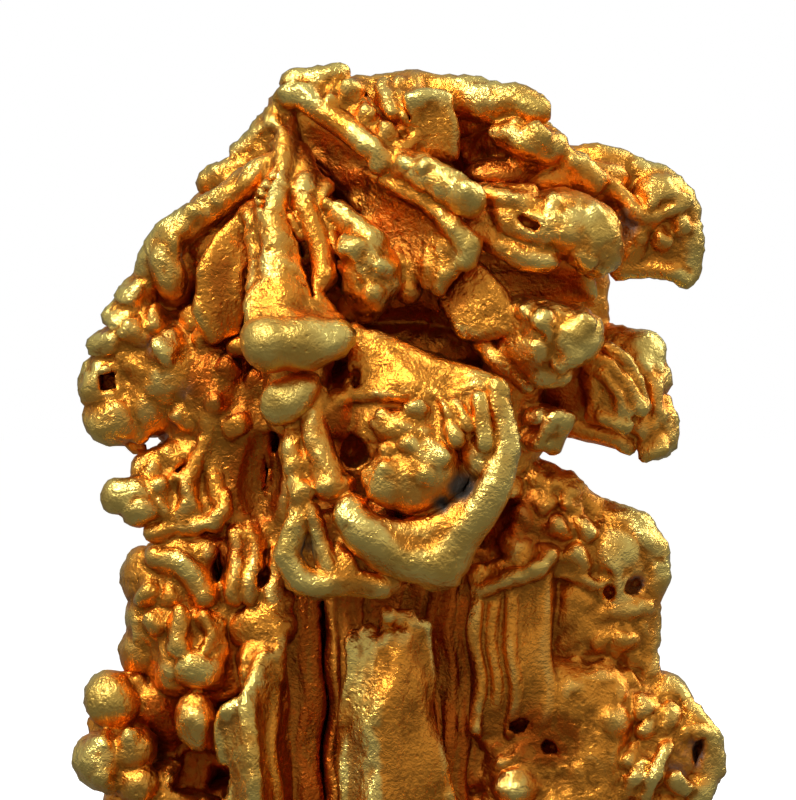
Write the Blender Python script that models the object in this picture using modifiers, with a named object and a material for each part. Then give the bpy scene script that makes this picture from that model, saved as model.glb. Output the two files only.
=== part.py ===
"""A crystalline gold nugget standing on its worn lower end.

The nugget is one natural piece.  It is laid out in millimetres as named groups of simple forms (rods,
plates, lumps, knobs and blocks), fused by a voxel remesh, pitted with a set of cutters, bent a little
so that no line is ruled, thinned to a light faceted solid and cut flat where it rests.
x runs to the right, y away from the front and z up.
"""
import math
import random

import bmesh
import bpy
from mathutils import Euler, Matrix, Vector

# Driving dimensions, in metres.
NUGGET_HEIGHT = 0.0173
# Height in millimetres at which the forms below are laid out, and the scale that follows.
DRAWN_HEIGHT = 17.3
SCALE = NUGGET_HEIGHT / DRAWN_HEIGHT

# Fineness of the solid, in drawn millimetres and triangles.
FUSE_VOXEL = 0.12
PIT_VOXEL = 0.07
SMOOTH_PASSES = 2
# How far the fused skin is moved outwards, to make up for what the softening takes away.
FILL_OUT = 0.05
PITTED_TRIANGLES = 60000
FINAL_TRIANGLES = 9600
FOOT_LEVEL = 0.0

# Smallest half size of a knob that gets a finer sphere, and the steps round a block's edge.
LARGE_KNOB = 1.0
BLOCK_EDGE_STEPS = 3
# Corners this near the foot's level are drawn onto it, in drawn millimetres.
FOOT_SNAP = 0.06
SHARP_ANGLE = 50.0

# Depth of the nugget's middle, and how far its bulk and its far side reach from there, in drawn millimetres.
MIDDLE_DEPTH = 0.6
BULK_DEPTH = 2.0
FAR_DEPTH = 2.75
# Above this height the nugget is this much shallower.
SUMMIT_LEVEL = 14.5
SUMMIT_DEPTH = 0.65
# Half the height of a bulk knob, and how far it stays inside the limits.
BULK_HALF_HEIGHT = 0.95
BULK_INSET = 0.45
# The far side's growths: how many to a millimetre of half width, how thick, how far off their level.
GROWTHS_PER_MILLIMETRE = 2.3
GROWTH_RADII = (0.26, 0.46)
GROWTH_SCATTER = 0.45
GROWTH_SEED = 7
# How deep a form turned onto the far side lies, and how much it is flattened.
TURNED_DEPTH = 0.9
TURNED_SHARE = 0.8

# How far and how often the forms wander, in drawn millimetres and radians per millimetre.
LONG_WANDER = 0.05
SHORT_WANDER = 0.03

GOLD_COLOUR = (0.72, 0.42, 0.09, 1.0)
GOLD_ROUGHNESS = 0.32


# ---------------------------------------------------------------- kinds of form
def rod(*points):
    """A chain of round bars through (x, y, z, radius) points."""
    return ("rod", points)


def plate(*points):
    """A sheet with rounded edges over (x, y, z, half thickness) corners."""
    return ("plate", points)


def knob(x, y, z, half_x, half_y, half_z, tilt=(0, 0, 0)):
    """An ellipsoid with its half sizes and its tilt in degrees."""
    return ("knob", (x, y, z), (half_x, half_y, half_z), tilt)


def lump(x, y, z, radius):
    """An uneven lump, whose stretch and tilt follow from where it is."""
    wide = 1.0 + 0.28 * math.sin(7.0 * x + 3.0 * z)
    tall = 1.0 + 0.25 * math.sin(5.0 * z - 4.0 * x + 2.0 * y)
    deep = 1.55 - 0.3 * wide - 0.25 * tall
    tilt = (
        40.0 * math.sin(3.0 * x + z),
        50.0 * math.sin(4.0 * z + x),
        40.0 * math.sin(2.0 * x - 5.0 * z),
    )
    return knob(x, y, z, radius * wide, radius * deep, radius * tall, tilt)


def block(x, y, z, half_x, half_y, half_z, tilt=(0, 0, 0), edge=0.1):
    """A box with its half sizes, its tilt in degrees and its rounded edge."""
    return ("block", (x, y, z), (half_x, half_y, half_z), tilt, edge)


def turned(form, rise=0.0):
    """The same form after half a turn round the upright axis, flattened onto the far side."""
    if form[0] in ("rod", "plate"):
        points = tuple((-x, TURNED_DEPTH - TURNED_SHARE * y, z + rise, radius) for x, y, z, radius in form[1])
        return (form[0], points)
    x, y, z = form[1]
    tilt = form[3]
    centre = (-x, TURNED_DEPTH - TURNED_SHARE * y, z + rise)
    moved = (form[0], centre, form[2], (-tilt[0], -tilt[1], tilt[2]))
    return moved + tuple(form[4:])


# ---------------------------------------------------------------- the nugget's forms
# Height, left limit and right limit of the bulk at that height.
LEVELS = [
    (1.3, -4.3, 4.3),
    (2.4, -5.0, 5.1),
    (3.6, -5.2, 5.3),
    (4.8, -4.6, 4.5),
    (6.0, -4.8, 4.4),
    (7.2, -4.7, 4.4),
    (8.3, -4.2, 3.4),
    (9.4, -4.0, 2.4),
    (10.5, -4.8, 2.9),
    (11.6, -4.9, 3.5),
    (12.7, -4.1, 3.4),
    (13.8, -3.8, 3.5),
    (14.8, -3.0, 3.2),
    (15.6, -2.4, 2.2),
    (15.9, -1.9, 1.6),
]

# The worn lower end that it stands on.
FOOT = [
    knob(0.1, 0.6, 0.9, 2.7, 1.25, 1.15),
    lump(-3.1, 0.0, 0.75, 1.0),
    lump(3.2, 0.3, 0.8, 1.05),
    lump(-1.6, 1.5, 0.8, 0.95),
    lump(1.7, -0.7, 0.7, 0.95),
]

# What carries the forward forms.
ROOTS = [
    rod((2.6, -2.3, 14.2, 0.42), (1.8, 0.3, 14.0, 0.6)),
    rod((3.5, -2.3, 14.0, 0.4), (2.6, 0.2, 13.9, 0.5)),
    rod((2.9, -2.6, 12.0, 0.42), (1.9, 0.2, 12.0, 0.6)),
    rod((-2.1, -3.1, 11.9, 0.5), (-2.0, 0.0, 11.8, 0.8)),
    rod((-2.3, -3.2, 10.7, 0.33), (-2.1, -0.5, 10.6, 0.6)),
    rod((0.4, -2.45, 15.1, 0.26), (-0.2, -0.5, 15.0, 0.5)),
    rod((0.9, -2.7, 13.6, 0.22), (0.4, -0.5, 13.4, 0.6)),
    rod((-0.6, -2.6, 13.2, 0.4), (-0.6, -0.5, 13.2, 0.7)),
    knob(-2.3, -1.2, 13.9, 0.85, 0.95, 1.4),
    rod((-3.6, -1.9, 13.0, 0.22), (-3.3, -0.4, 13.0, 0.5)),
    rod((-4.07, -1.8, 4.3, 0.3), (-3.9, -0.3, 4.5, 0.5)),
    rod((5.1, -1.6, 3.1, 0.3), (5.0, -0.5, 3.2, 0.5)),
    rod((3.0, -2.0, 10.0, 0.22), (2.0, -0.4, 10.2, 0.5)),
    rod((-4.8, -1.6, 8.7, 0.3), (-3.8, -0.2, 8.9, 0.6)),
    rod((-5.3, -1.0, 12.3, 0.35), (-4.2, 0.0, 12.0, 0.6)),
    rod((2.4, -1.8, 15.9, 0.25), (1.5, -0.2, 15.6, 0.5)),
    rod((2.0, -1.3, 16.5, 0.25), (1.0, -0.1, 16.0, 0.5)),
    rod((0.5, -3.0, 9.5, 0.7), (0.0, 0.0, 9.5, 1.0)),
    rod((4.4, -0.8, 11.0, 0.5), (2.8, 0.3, 11.2, 0.6)),
]

# The summit: crest, roof and the face under its rim.
SUMMIT = [
    rod((-2.12, -1.0, 16.99, 0.26), (-1.72, -1.05, 17.11, 0.23), (-1.3, -1.0, 17.14, 0.17)),
    lump(-2.12, -1.15, 16.78, 0.28),
    lump(-1.72, -1.2, 16.84, 0.24),
    # spine down the left of the summit
    plate((-2.25, -0.9, 16.7, 0.19), (-2.25, -1.1, 15.6, 0.22), (-3.12, -0.7, 15.42, 0.22)),
    rod((-2.28, -1.0, 16.62, 0.18), (-2.66, -0.95, 15.98, 0.2), (-3.2, -0.75, 15.5, 0.2)),
    lump(-2.5, -1.15, 16.1, 0.2),
    lump(-2.5, -1.25, 15.7, 0.24),
    # roof: its lower rim, the sheet behind it, lumps on the sheet
    rod(
        (-1.95, -1.35, 16.78, 0.19), (-1.3, -1.75, 16.26, 0.21), (-0.78, -2.08, 15.8, 0.22),
        (-0.34, -2.3, 15.42, 0.19),
    ),
    plate(
        (-1.88, -1.2, 16.82, 0.15), (-0.9, -0.95, 16.9, 0.15), (0.5, -0.95, 16.95, 0.18),
        (1.0, -1.4, 16.4, 0.15), (-0.2, -2.15, 15.5, 0.15), (-0.8, -1.85, 15.85, 0.15),
    ),
    lump(-1.0, -1.5, 16.7, 0.24),
    lump(-0.75, -1.8, 16.3, 0.24),
    lump(-0.4, -2.05, 15.95, 0.24),
    lump(-1.35, -1.5, 16.6, 0.2),
    rod((-0.3, -1.4, 16.9, 0.15), (-0.2, -1.85, 16.4, 0.16)),
    rod((0.03, -1.4, 16.92, 0.13), (0.12, -1.95, 16.25, 0.13)),
    rod((0.35, -1.35, 16.92, 0.15), (0.4, -1.9, 16.4, 0.14)),
    block(0.62, -1.4, 16.15, 0.46, 0.6, 0.62, tilt=(8, 0, 0), edge=0.05),
    # recessed face under the rim
    plate(
        (-2.2, -0.75, 16.6, 0.14), (-0.35, -1.75, 15.35, 0.14), (-1.3, -1.15, 15.2, 0.14),
        (-2.2, -0.85, 15.6, 0.14),
    ),
]

# The right of the head: long bar, far arm, fist, nose and lower arm.
RIGHT_HEAD = [
    rod(
        (0.2, -1.1, 16.88, 0.24), (1.0, -1.25, 16.82, 0.34), (1.5, -1.4, 16.7, 0.4),
        (2.0, -1.55, 16.52, 0.4), (2.5, -1.7, 16.54, 0.33), (2.86, -1.75, 16.42, 0.25),
    ),
    lump(2.3, -1.6, 16.66, 0.22),
    lump(1.35, -1.45, 16.94, 0.2),
    rod((2.0, -1.9, 15.98, 0.24), (2.55, -2.1, 15.84, 0.36), (3.0, -2.05, 15.6, 0.3)),
    lump(2.25, -2.05, 16.08, 0.2),
    lump(2.75, -2.25, 15.95, 0.24),
    knob(2.7, -1.7, 15.6, 0.55, 0.45, 0.5),
    plate(
        (1.35, -0.5, 16.4, 0.14), (2.9, -1.3, 15.95, 0.16), (3.0, -1.7, 15.0, 0.15),
        (1.5, -1.1, 15.0, 0.15),
    ),
    knob(2.1, -1.5, 15.15, 0.75, 0.5, 0.35),
    rod((3.0, -1.7, 15.0, 0.3), (3.5, -1.8, 15.2, 0.32), (3.9, -1.75, 15.0, 0.26)),
    lump(3.35, -1.95, 15.3, 0.24),
    # far right arm: back ridge, mass, wavy front ridge, lower rim
    rod(
        (3.4, -0.9, 15.52, 0.22), (4.02, -0.9, 15.54, 0.24), (4.5, -0.9, 15.32, 0.24),
        (5.0, -0.9, 15.02, 0.25), (5.46, -0.95, 14.76, 0.26), (5.8, -1.0, 14.36, 0.26),
        (5.92, -1.0, 13.8, 0.23), (5.9, -1.05, 13.2, 0.17),
    ),
    knob(5.0, -0.85, 14.2, 0.9, 0.6, 0.85),
    knob(5.25, -0.85, 13.65, 0.62, 0.52, 0.5),
    knob(4.0, -1.1, 15.0, 0.6, 0.5, 0.45),
    knob(4.75, -1.0, 13.75, 0.4, 0.5, 0.5),
    rod(
        (4.06, -1.5, 14.98, 0.18), (4.5, -1.5, 14.74, 0.16), (4.84, -1.5, 14.4, 0.15),
        (5.2, -1.48, 14.24, 0.16), (5.5, -1.42, 14.36, 0.15), (5.7, -1.3, 14.5, 0.15),
    ),
    knob(5.15, -1.15, 14.75, 0.5, 0.4, 0.32, tilt=(0, 25, 0)),
    lump(5.1, -1.5, 14.55, 0.17),
    lump(5.45, -1.4, 14.62, 0.16),
    plate(
        (4.5, -0.95, 14.1, 0.2), (5.75, -1.05, 14.1, 0.2), (5.78, -1.05, 13.2, 0.18),
        (4.55, -0.95, 13.3, 0.18),
    ),
    rod((4.5, -1.2, 13.34, 0.16), (5.12, -1.2, 13.22, 0.16), (5.72, -1.15, 13.1, 0.17)),
    lump(5.82, -1.15, 13.02, 0.16),
    lump(4.95, -1.4, 13.98, 0.22),
    lump(5.35, -1.4, 13.82, 0.22),
    lump(5.7, -1.25, 14.1, 0.2),
    rod((3.3, -0.3, 14.6, 0.55), (4.9, -0.5, 14.4, 0.5)),
    # the fist
    plate(
        (1.7, -2.2, 14.75, 0.18), (2.6, -2.4, 14.75, 0.2), (2.9, -2.6, 13.75, 0.2),
        (1.45, -2.5, 13.95, 0.18),
    ),
    rod((2.3, -2.35, 14.22, 0.52), (3.2, -2.45, 14.15, 0.64), (3.78, -2.5, 13.95, 0.66)),
    knob(3.9, -2.35, 13.75, 0.55, 0.6, 0.68),
    lump(3.05, -2.85, 14.45, 0.3),
    lump(3.85, -2.85, 14.25, 0.32),
    lump(3.4, -2.95, 13.95, 0.28),
    lump(3.7, -2.85, 13.5, 0.34),
    lump(4.1, -2.7, 13.75, 0.3),
    lump(2.8, -2.7, 13.75, 0.28),
    rod((1.4, -2.5, 13.92, 0.16), (2.2, -2.7, 13.62, 0.18), (2.9, -2.75, 13.45, 0.2)),
    rod((1.75, -2.45, 14.7, 0.17), (2.2, -2.65, 14.62, 0.2), (2.55, -2.7, 14.6, 0.2)),
    plate(
        (1.5, -1.7, 13.5, 0.2), (3.6, -1.8, 13.3, 0.2), (3.7, -1.5, 12.8, 0.2), (2.2, -1.6, 12.7, 0.2),
    ),
    rod((3.8, -0.4, 13.4, 0.37), (3.82, -0.4, 12.0, 0.35)),
    # facet and nose
    plate(
        (1.48, -2.45, 13.22, 0.12), (0.9, -2.35, 12.56, 0.12), (1.4, -2.55, 11.9, 0.12),
        (2.3, -2.75, 12.2, 0.14), (2.08, -2.65, 12.75, 0.12),
    ),
    rod((2.45, -2.5, 12.3, 0.42), (3.0, -2.7, 12.05, 0.56), (3.48, -2.8, 11.88, 0.6)),
    knob(2.9, -2.6, 11.75, 0.7, 0.55, 0.5),
    lump(2.6, -2.95, 12.4, 0.22),
    lump(3.0, -3.15, 12.15, 0.3),
    lump(3.6, -3.15, 12.0, 0.32),
    lump(3.3, -3.1, 11.6, 0.3),
    lump(2.8, -2.95, 11.7, 0.28),
    rod((2.35, -2.5, 11.65, 0.28), (2.85, -2.6, 11.25, 0.32), (3.2, -2.5, 11.15, 0.24)),
    rod((1.6, -2.3, 11.9, 0.14), (2.0, -2.5, 11.4, 0.18), (2.5, -2.5, 11.0, 0.2)),
    # lower right arm
    rod((4.15, -0.6, 11.7, 0.38), (4.88, -0.8, 11.46, 0.48), (5.04, -0.9, 11.0, 0.44)),
    knob(4.3, -1.55, 10.9, 0.6, 0.5, 0.72),
    knob(4.85, -1.0, 10.9, 0.45, 0.4, 0.7),
    rod(
        (3.85, -1.95, 11.45, 0.11), (4.25, -2.02, 11.35, 0.12), (4.62, -1.95, 10.95, 0.13),
        (4.78, -1.85, 10.45, 0.12),
    ),
    rod(
        (4.95, -1.3, 11.35, 0.13), (5.18, -1.3, 10.9, 0.13), (5.15, -1.35, 10.5, 0.13),
        (5.25, -1.3, 10.2, 0.14),
    ),
    knob(5.16, -1.0, 10.0, 0.46, 0.42, 0.66),
    lump(4.9, -1.3, 10.1, 0.26),
    lump(5.1, -1.3, 9.65, 0.27),
    plate(
        (3.3, -1.3, 10.6, 0.18), (4.9, -1.1, 10.6, 0.18), (4.9, -1.05, 9.86, 0.18),
        (4.25, -1.1, 9.86, 0.16), (3.4, -1.1, 10.1, 0.16),
    ),
    rod((3.4, -1.3, 10.12, 0.16), (4.2, -1.3, 9.92, 0.16), (4.6, -1.2, 9.74, 0.15)),
    knob(3.02, -2.15, 9.98, 0.34, 0.38, 0.44),
    lump(2.72, -2.15, 10.3, 0.28),
    lump(2.7, -2.0, 9.8, 0.26),
    rod((2.3, -1.5, 10.9, 0.6), (2.2, -1.3, 9.3, 0.5)),
    knob(3.4, -0.9, 11.1, 0.8, 0.7, 0.9),
]

# The front of the head: striated slab, ribs and the mushroom knob.
FRONT_HEAD = [
    # striated slab and its rim, and the finger above it
    plate(
        (-1.5, -1.0, 15.22, 0.12), (-0.3, -2.1, 15.15, 0.12), (0.7, -2.65, 14.3, 0.14),
        (1.2, -2.95, 13.4, 0.14), (0.76, -2.75, 12.8, 0.12), (-0.2, -2.1, 13.6, 0.12),
        (-1.15, -1.4, 14.3, 0.12),
    ),
    rod(
        (-0.3, -2.2, 15.1, 0.1), (0.56, -2.7, 14.56, 0.16), (1.04, -2.95, 14.0, 0.2),
        (1.33, -3.05, 13.66, 0.22), (1.32, -3.05, 13.36, 0.17),
    ),
    rod(
        (-0.22, -2.15, 15.5, 0.17), (0.4, -2.5, 15.16, 0.29), (1.0, -2.85, 14.84, 0.35),
        (1.38, -3.0, 14.6, 0.35),
    ),
    lump(0.1, -2.6, 15.4, 0.15),
    lump(0.55, -2.8, 15.25, 0.18),
    lump(1.3, -3.2, 14.72, 0.24),
    # ribs that fan down from the summit
    rod((-2.98, -2.05, 14.3, 0.12), (-2.98, -2.35, 13.9, 0.16), (-2.92, -2.55, 13.1, 0.15)),
    rod((-2.98, -2.3, 13.8, 0.16), (-2.5, -2.2, 13.6, 0.22)),
    rod(
        (-2.35, -1.3, 15.9, 0.18), (-2.45, -1.9, 14.9, 0.24), (-2.55, -2.35, 14.1, 0.32),
        (-2.5, -2.7, 13.2, 0.36), (-2.3, -3.0, 12.6, 0.42),
    ),
    plate(
        (-2.5, -1.9, 14.6, 0.16), (-3.0, -2.35, 13.9, 0.14), (-2.9, -2.7, 12.9, 0.16),
        (-2.2, -2.85, 13.0, 0.2), (-2.2, -2.3, 14.1, 0.18),
    ),
    plate(
        (-2.85, -3.0, 12.7, 0.14), (-2.3, -2.9, 13.2, 0.2), (-1.55, -3.0, 12.45, 0.16),
        (-1.3, -3.3, 12.05, 0.14), (-2.0, -3.6, 12.1, 0.2), (-2.9, -3.4, 12.15, 0.16),
    ),
    rod(
        (-2.1, -1.3, 15.6, 0.22), (-1.92, -2.0, 14.8, 0.22), (-1.7, -2.5, 13.9, 0.2),
        (-1.56, -2.8, 13.0, 0.2),
    ),
    plate(
        (-1.95, -1.9, 14.9, 0.12), (-1.5, -2.1, 14.5, 0.12), (-1.38, -2.7, 13.2, 0.12),
        (-1.6, -2.85, 12.8, 0.12),
    ),
    rod(
        (-1.75, -1.5, 15.1, 0.2), (-1.5, -1.95, 14.65, 0.22), (-1.05, -2.4, 14.2, 0.25),
        (-0.6, -2.7, 13.75, 0.34),
    ),
    knob(-0.62, -2.75, 13.15, 0.56, 0.5, 0.75),
    lump(-0.98, -2.98, 13.55, 0.26),
    lump(-0.36, -3.02, 13.3, 0.28),
    lump(-0.6, -3.0, 12.75, 0.32),
    lump(-1.35, -2.25, 14.5, 0.2),
    knob(-0.75, -2.4, 12.55, 0.45, 0.4, 0.35),
    rod((-0.05, -2.3, 13.5, 0.16), (0.15, -2.4, 12.8, 0.2)),
    # mushroom knob, the knob under it and what carries them
    knob(-2.06, -3.72, 11.74, 0.85, 0.5, 0.48),
    knob(-2.67, -3.8, 11.74, 0.55, 0.52, 0.54),
    knob(-1.42, -3.75, 11.77, 0.42, 0.44, 0.38),
    knob(-2.2, -3.55, 10.68, 0.5, 0.42, 0.44),
    knob(-2.38, -3.5, 10.55, 0.34, 0.38, 0.36),
    knob(-2.02, -3.5, 10.8, 0.36, 0.4, 0.36),
    rod((-2.1, -2.6, 11.7, 0.7), (-2.1, -2.5, 10.4, 0.6)),
]

# The curled block that stands forward of the neck, with its lip and ring.
CURL = [
    plate(
        (-0.84, -3.0, 12.0, 0.12), (0.3, -3.3, 11.5, 0.14), (1.44, -3.6, 11.0, 0.15),
        (2.0, -3.75, 10.7, 0.16), (0.6, -3.85, 10.75, 0.15), (-1.0, -3.3, 10.7, 0.15),
    ),
    knob(0.8, -3.6, 10.92, 0.6, 0.25, 0.25),
    rod((-0.85, -3.05, 12.0, 0.1), (0.3, -3.4, 11.5, 0.1), (1.4, -3.68, 11.05, 0.12)),
    # the comb at its upper right
    knob(1.3, -3.6, 10.2, 0.75, 0.42, 0.7),
    knob(0.75, -3.65, 10.25, 0.45, 0.42, 0.6),
    rod((0.92, -3.95, 10.62, 0.1), (1.08, -4.05, 9.9, 0.1)),
    rod((1.14, -3.98, 10.66, 0.09), (1.32, -4.08, 10.0, 0.1)),
    rod((1.66, -3.98, 10.62, 0.11), (1.6, -4.1, 9.8, 0.12)),
    rod(
        (2.04, -3.85, 10.75, 0.18), (2.08, -3.98, 10.3, 0.2), (2.04, -4.02, 9.55, 0.26),
        (1.9, -4.02, 8.9, 0.33), (1.55, -4.0, 8.3, 0.39), (1.12, -3.98, 7.75, 0.44),
        (0.76, -3.92, 7.38, 0.5),
    ),
    rod(
        (0.76, -3.92, 7.38, 0.5), (0.2, -3.92, 7.48, 0.49), (-0.3, -3.92, 7.64, 0.47),
        (-0.7, -3.94, 7.92, 0.42), (-0.95, -3.96, 8.28, 0.34), (-0.98, -3.96, 8.5, 0.2),
    ),
    # what the lip holds
    knob(0.52, -3.95, 9.3, 0.58, 0.42, 0.74),
    knob(-0.28, -3.98, 8.88, 0.45, 0.4, 0.44),
    knob(0.3, -3.8, 9.95, 0.75, 0.4, 0.4),
    knob(0.25, -3.9, 8.75, 0.5, 0.4, 0.34),
    lump(0.8, -4.15, 9.55, 0.24),
    lump(0.2, -4.1, 9.7, 0.24),
    lump(0.4, -3.95, 10.38, 0.26),
    lump(-0.32, -4.22, 9.1, 0.22),
    lump(0.5, -4.22, 9.1, 0.26),
    lump(-0.2, -4.0, 9.45, 0.22),
    lump(-0.25, -3.75, 10.1, 0.28),
    knob(0.9, -3.55, 8.7, 0.9, 0.42, 0.9),
    # strands that hang at its left, and the ring they end in
    rod(
        (-1.68, -3.3, 10.6, 0.22), (-1.68, -3.5, 10.0, 0.26), (-1.6, -3.65, 9.4, 0.3),
        (-1.45, -3.72, 8.95, 0.32), (-1.2, -3.72, 8.8, 0.26),
    ),
    knob(-1.3, -3.2, 10.25, 0.42, 0.38, 0.46),
    lump(-1.2, -3.35, 10.5, 0.24),
    knob(-1.75, -3.2, 9.6, 0.4, 0.35, 0.9),
    rod(
        (-2.16, -3.3, 10.2, 0.13), (-2.14, -3.45, 9.5, 0.16), (-2.06, -3.58, 8.9, 0.21),
        (-2.02, -3.62, 8.4, 0.23),
    ),
    lump(-2.1, -3.55, 9.3, 0.2),
    lump(-2.0, -3.68, 8.75, 0.24),
    rod(
        (-2.1, -3.66, 8.3, 0.2), (-2.2, -3.76, 7.5, 0.24), (-1.98, -3.78, 7.08, 0.27),
        (-1.55, -3.76, 6.92, 0.26), (-0.95, -3.7, 6.9, 0.24), (-0.35, -3.65, 6.88, 0.22),
        (-0.1, -3.6, 7.0, 0.18),
    ),
    rod((-1.8, -3.7, 8.4, 0.15), (-1.56, -3.74, 7.8, 0.14), (-1.4, -3.76, 7.2, 0.17)),
    rod((-1.22, -3.6, 7.5, 0.13), (-1.0, -3.7, 7.1, 0.2)),
    plate(
        (-2.1, -3.3, 8.2, 0.15), (-2.1, -3.3, 7.0, 0.15), (-0.2, -3.3, 6.95, 0.15),
        (-0.8, -3.3, 8.2, 0.15),
    ),
    knob(0.0, -2.3, 9.7, 1.8, 1.3, 1.9),
    knob(-0.5, -2.5, 7.9, 1.5, 1.0, 0.95),
]

# The left of the head: long ridge, leaf, cluster of lobes and fork.
LEFT_HEAD = [
    rod((-3.95, -0.7, 14.98, 0.19), (-3.7, -0.8, 15.1, 0.23), (-3.2, -0.9, 15.2, 0.2)),
    lump(-3.45, -1.0, 15.0, 0.22),
    knob(-3.3, -0.7, 14.75, 0.6, 0.5, 0.45),
    rod(
        (-2.6, -1.5, 15.25, 0.22), (-3.1, -1.6, 14.95, 0.28), (-4.0, -1.65, 14.38, 0.3),
        (-4.56, -1.55, 13.96, 0.31), (-4.92, -1.4, 13.38, 0.3), (-5.15, -1.2, 12.85, 0.27),
    ),
    knob(-4.72, -1.65, 13.2, 0.34, 0.34, 0.6),
    lump(-4.6, -1.75, 13.7, 0.22),
    lump(-3.6, -1.8, 14.7, 0.2),
    lump(-4.1, -1.8, 14.4, 0.2),
    lump(-3.15, -1.75, 14.95, 0.2),
    plate(
        (-2.95, -1.9, 14.45, 0.1), (-3.66, -2.0, 13.9, 0.1), (-4.0, -2.1, 13.2, 0.12),
        (-4.08, -2.15, 12.5, 0.12), (-3.7, -2.1, 11.9, 0.12), (-3.25, -2.0, 12.1, 0.12),
        (-3.15, -1.95, 13.2, 0.1),
    ),
    knob(-3.6, -0.3, 13.6, 0.95, 1.1, 1.2),
    rod((-4.6, -0.9, 12.9, 0.4), (-3.6, -0.7, 14.4, 0.35)),
    # the lobed cluster
    lump(-5.38, -1.3, 12.62, 0.34),
    lump(-5.66, -1.25, 12.2, 0.38),
    lump(-5.86, -1.2, 11.72, 0.37),
    lump(-5.35, -1.5, 11.9, 0.32),
    knob(-5.88, -1.1, 10.85, 0.54, 0.55, 0.56),
    knob(-5.75, -1.15, 10.2, 0.6, 0.55, 0.5),
    lump(-5.98, -1.1, 11.3, 0.34),
    lump(-5.35, -1.3, 9.98, 0.28),
    rod((-5.4, -1.1, 9.95, 0.17), (-5.46, -1.1, 9.7, 0.09), (-5.25, -1.1, 9.62, 0.06)),
    knob(-4.4, -0.9, 11.2, 1.25, 1.0, 1.3),
    knob(-4.0, -0.4, 10.4, 1.35, 1.4, 1.5),
    knob(-5.2, -1.05, 11.5, 0.75, 0.6, 1.15),
    knob(-3.7, -1.5, 10.9, 0.75, 0.6, 1.1),
    knob(-5.1, -1.15, 10.5, 0.7, 0.6, 0.6),
    lump(-5.0, -1.6, 12.1, 0.32),
    lump(-4.5, -1.7, 11.75, 0.34),
    lump(-3.9, -1.85, 11.8, 0.3),
    lump(-4.7, -1.75, 11.15, 0.36),
    lump(-4.1, -1.9, 11.05, 0.34),
    lump(-5.3, -1.55, 11.35, 0.3),
    lump(-4.9, -1.6, 10.45, 0.34),
    lump(-4.35, -1.75, 10.4, 0.34),
    lump(-3.7, -2.0, 10.5, 0.33),
    lump(-3.45, -2.05, 11.2, 0.32),
    lump(-3.3, -2.1, 10.2, 0.3),
    lump(-4.2, -1.7, 12.2, 0.3),
    lump(-3.2, -2.2, 11.6, 0.25),
    # fork
    rod((-4.5, -1.55, 8.75, 0.3), (-5.3, -1.65, 8.66, 0.31), (-5.68, -1.65, 8.64, 0.33)),
    knob(-5.22, -1.7, 8.36, 0.38, 0.36, 0.3),
    lump(-4.75, -1.75, 8.38, 0.27),
    lump(-4.3, -1.85, 8.42, 0.32),
    plate(
        (-5.15, -1.4, 9.25, 0.22), (-4.3, -1.5, 9.6, 0.25), (-3.7, -1.7, 9.0, 0.22),
        (-3.85, -1.75, 8.45, 0.25), (-5.2, -1.55, 8.5, 0.28),
    ),
    lump(-4.95, -1.5, 9.15, 0.3),
    lump(-4.65, -1.55, 9.42, 0.26),
    lump(-4.8, -1.75, 8.85, 0.24),
    lump(-4.35, -1.8, 9.0, 0.24),
    lump(-4.15, -1.75, 9.45, 0.22),
    rod((-3.98, -1.8, 9.8, 0.14), (-4.12, -1.95, 9.3, 0.12), (-4.2, -2.0, 8.75, 0.14)),
    rod((-3.9, -1.75, 9.7, 0.14), (-3.7, -1.95, 9.1, 0.14), (-3.6, -2.0, 8.6, 0.14)),
    rod(
        (-3.48, -2.1, 8.75, 0.09), (-3.5, -2.15, 8.46, 0.12), (-3.8, -2.1, 8.22, 0.13),
        (-4.5, -1.9, 8.04, 0.13), (-4.95, -1.8, 7.88, 0.17),
    ),
    plate(
        (-3.9, -1.7, 10.3, 0.18), (-3.6, -1.75, 8.3, 0.18), (-2.3, -2.0, 7.5, 0.15),
        (-2.2, -2.2, 10.3, 0.15), (-2.9, -2.0, 11.0, 0.18),
    ),
    knob(-4.3, -0.9, 8.8, 0.8, 0.6, 0.75),
]

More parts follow.
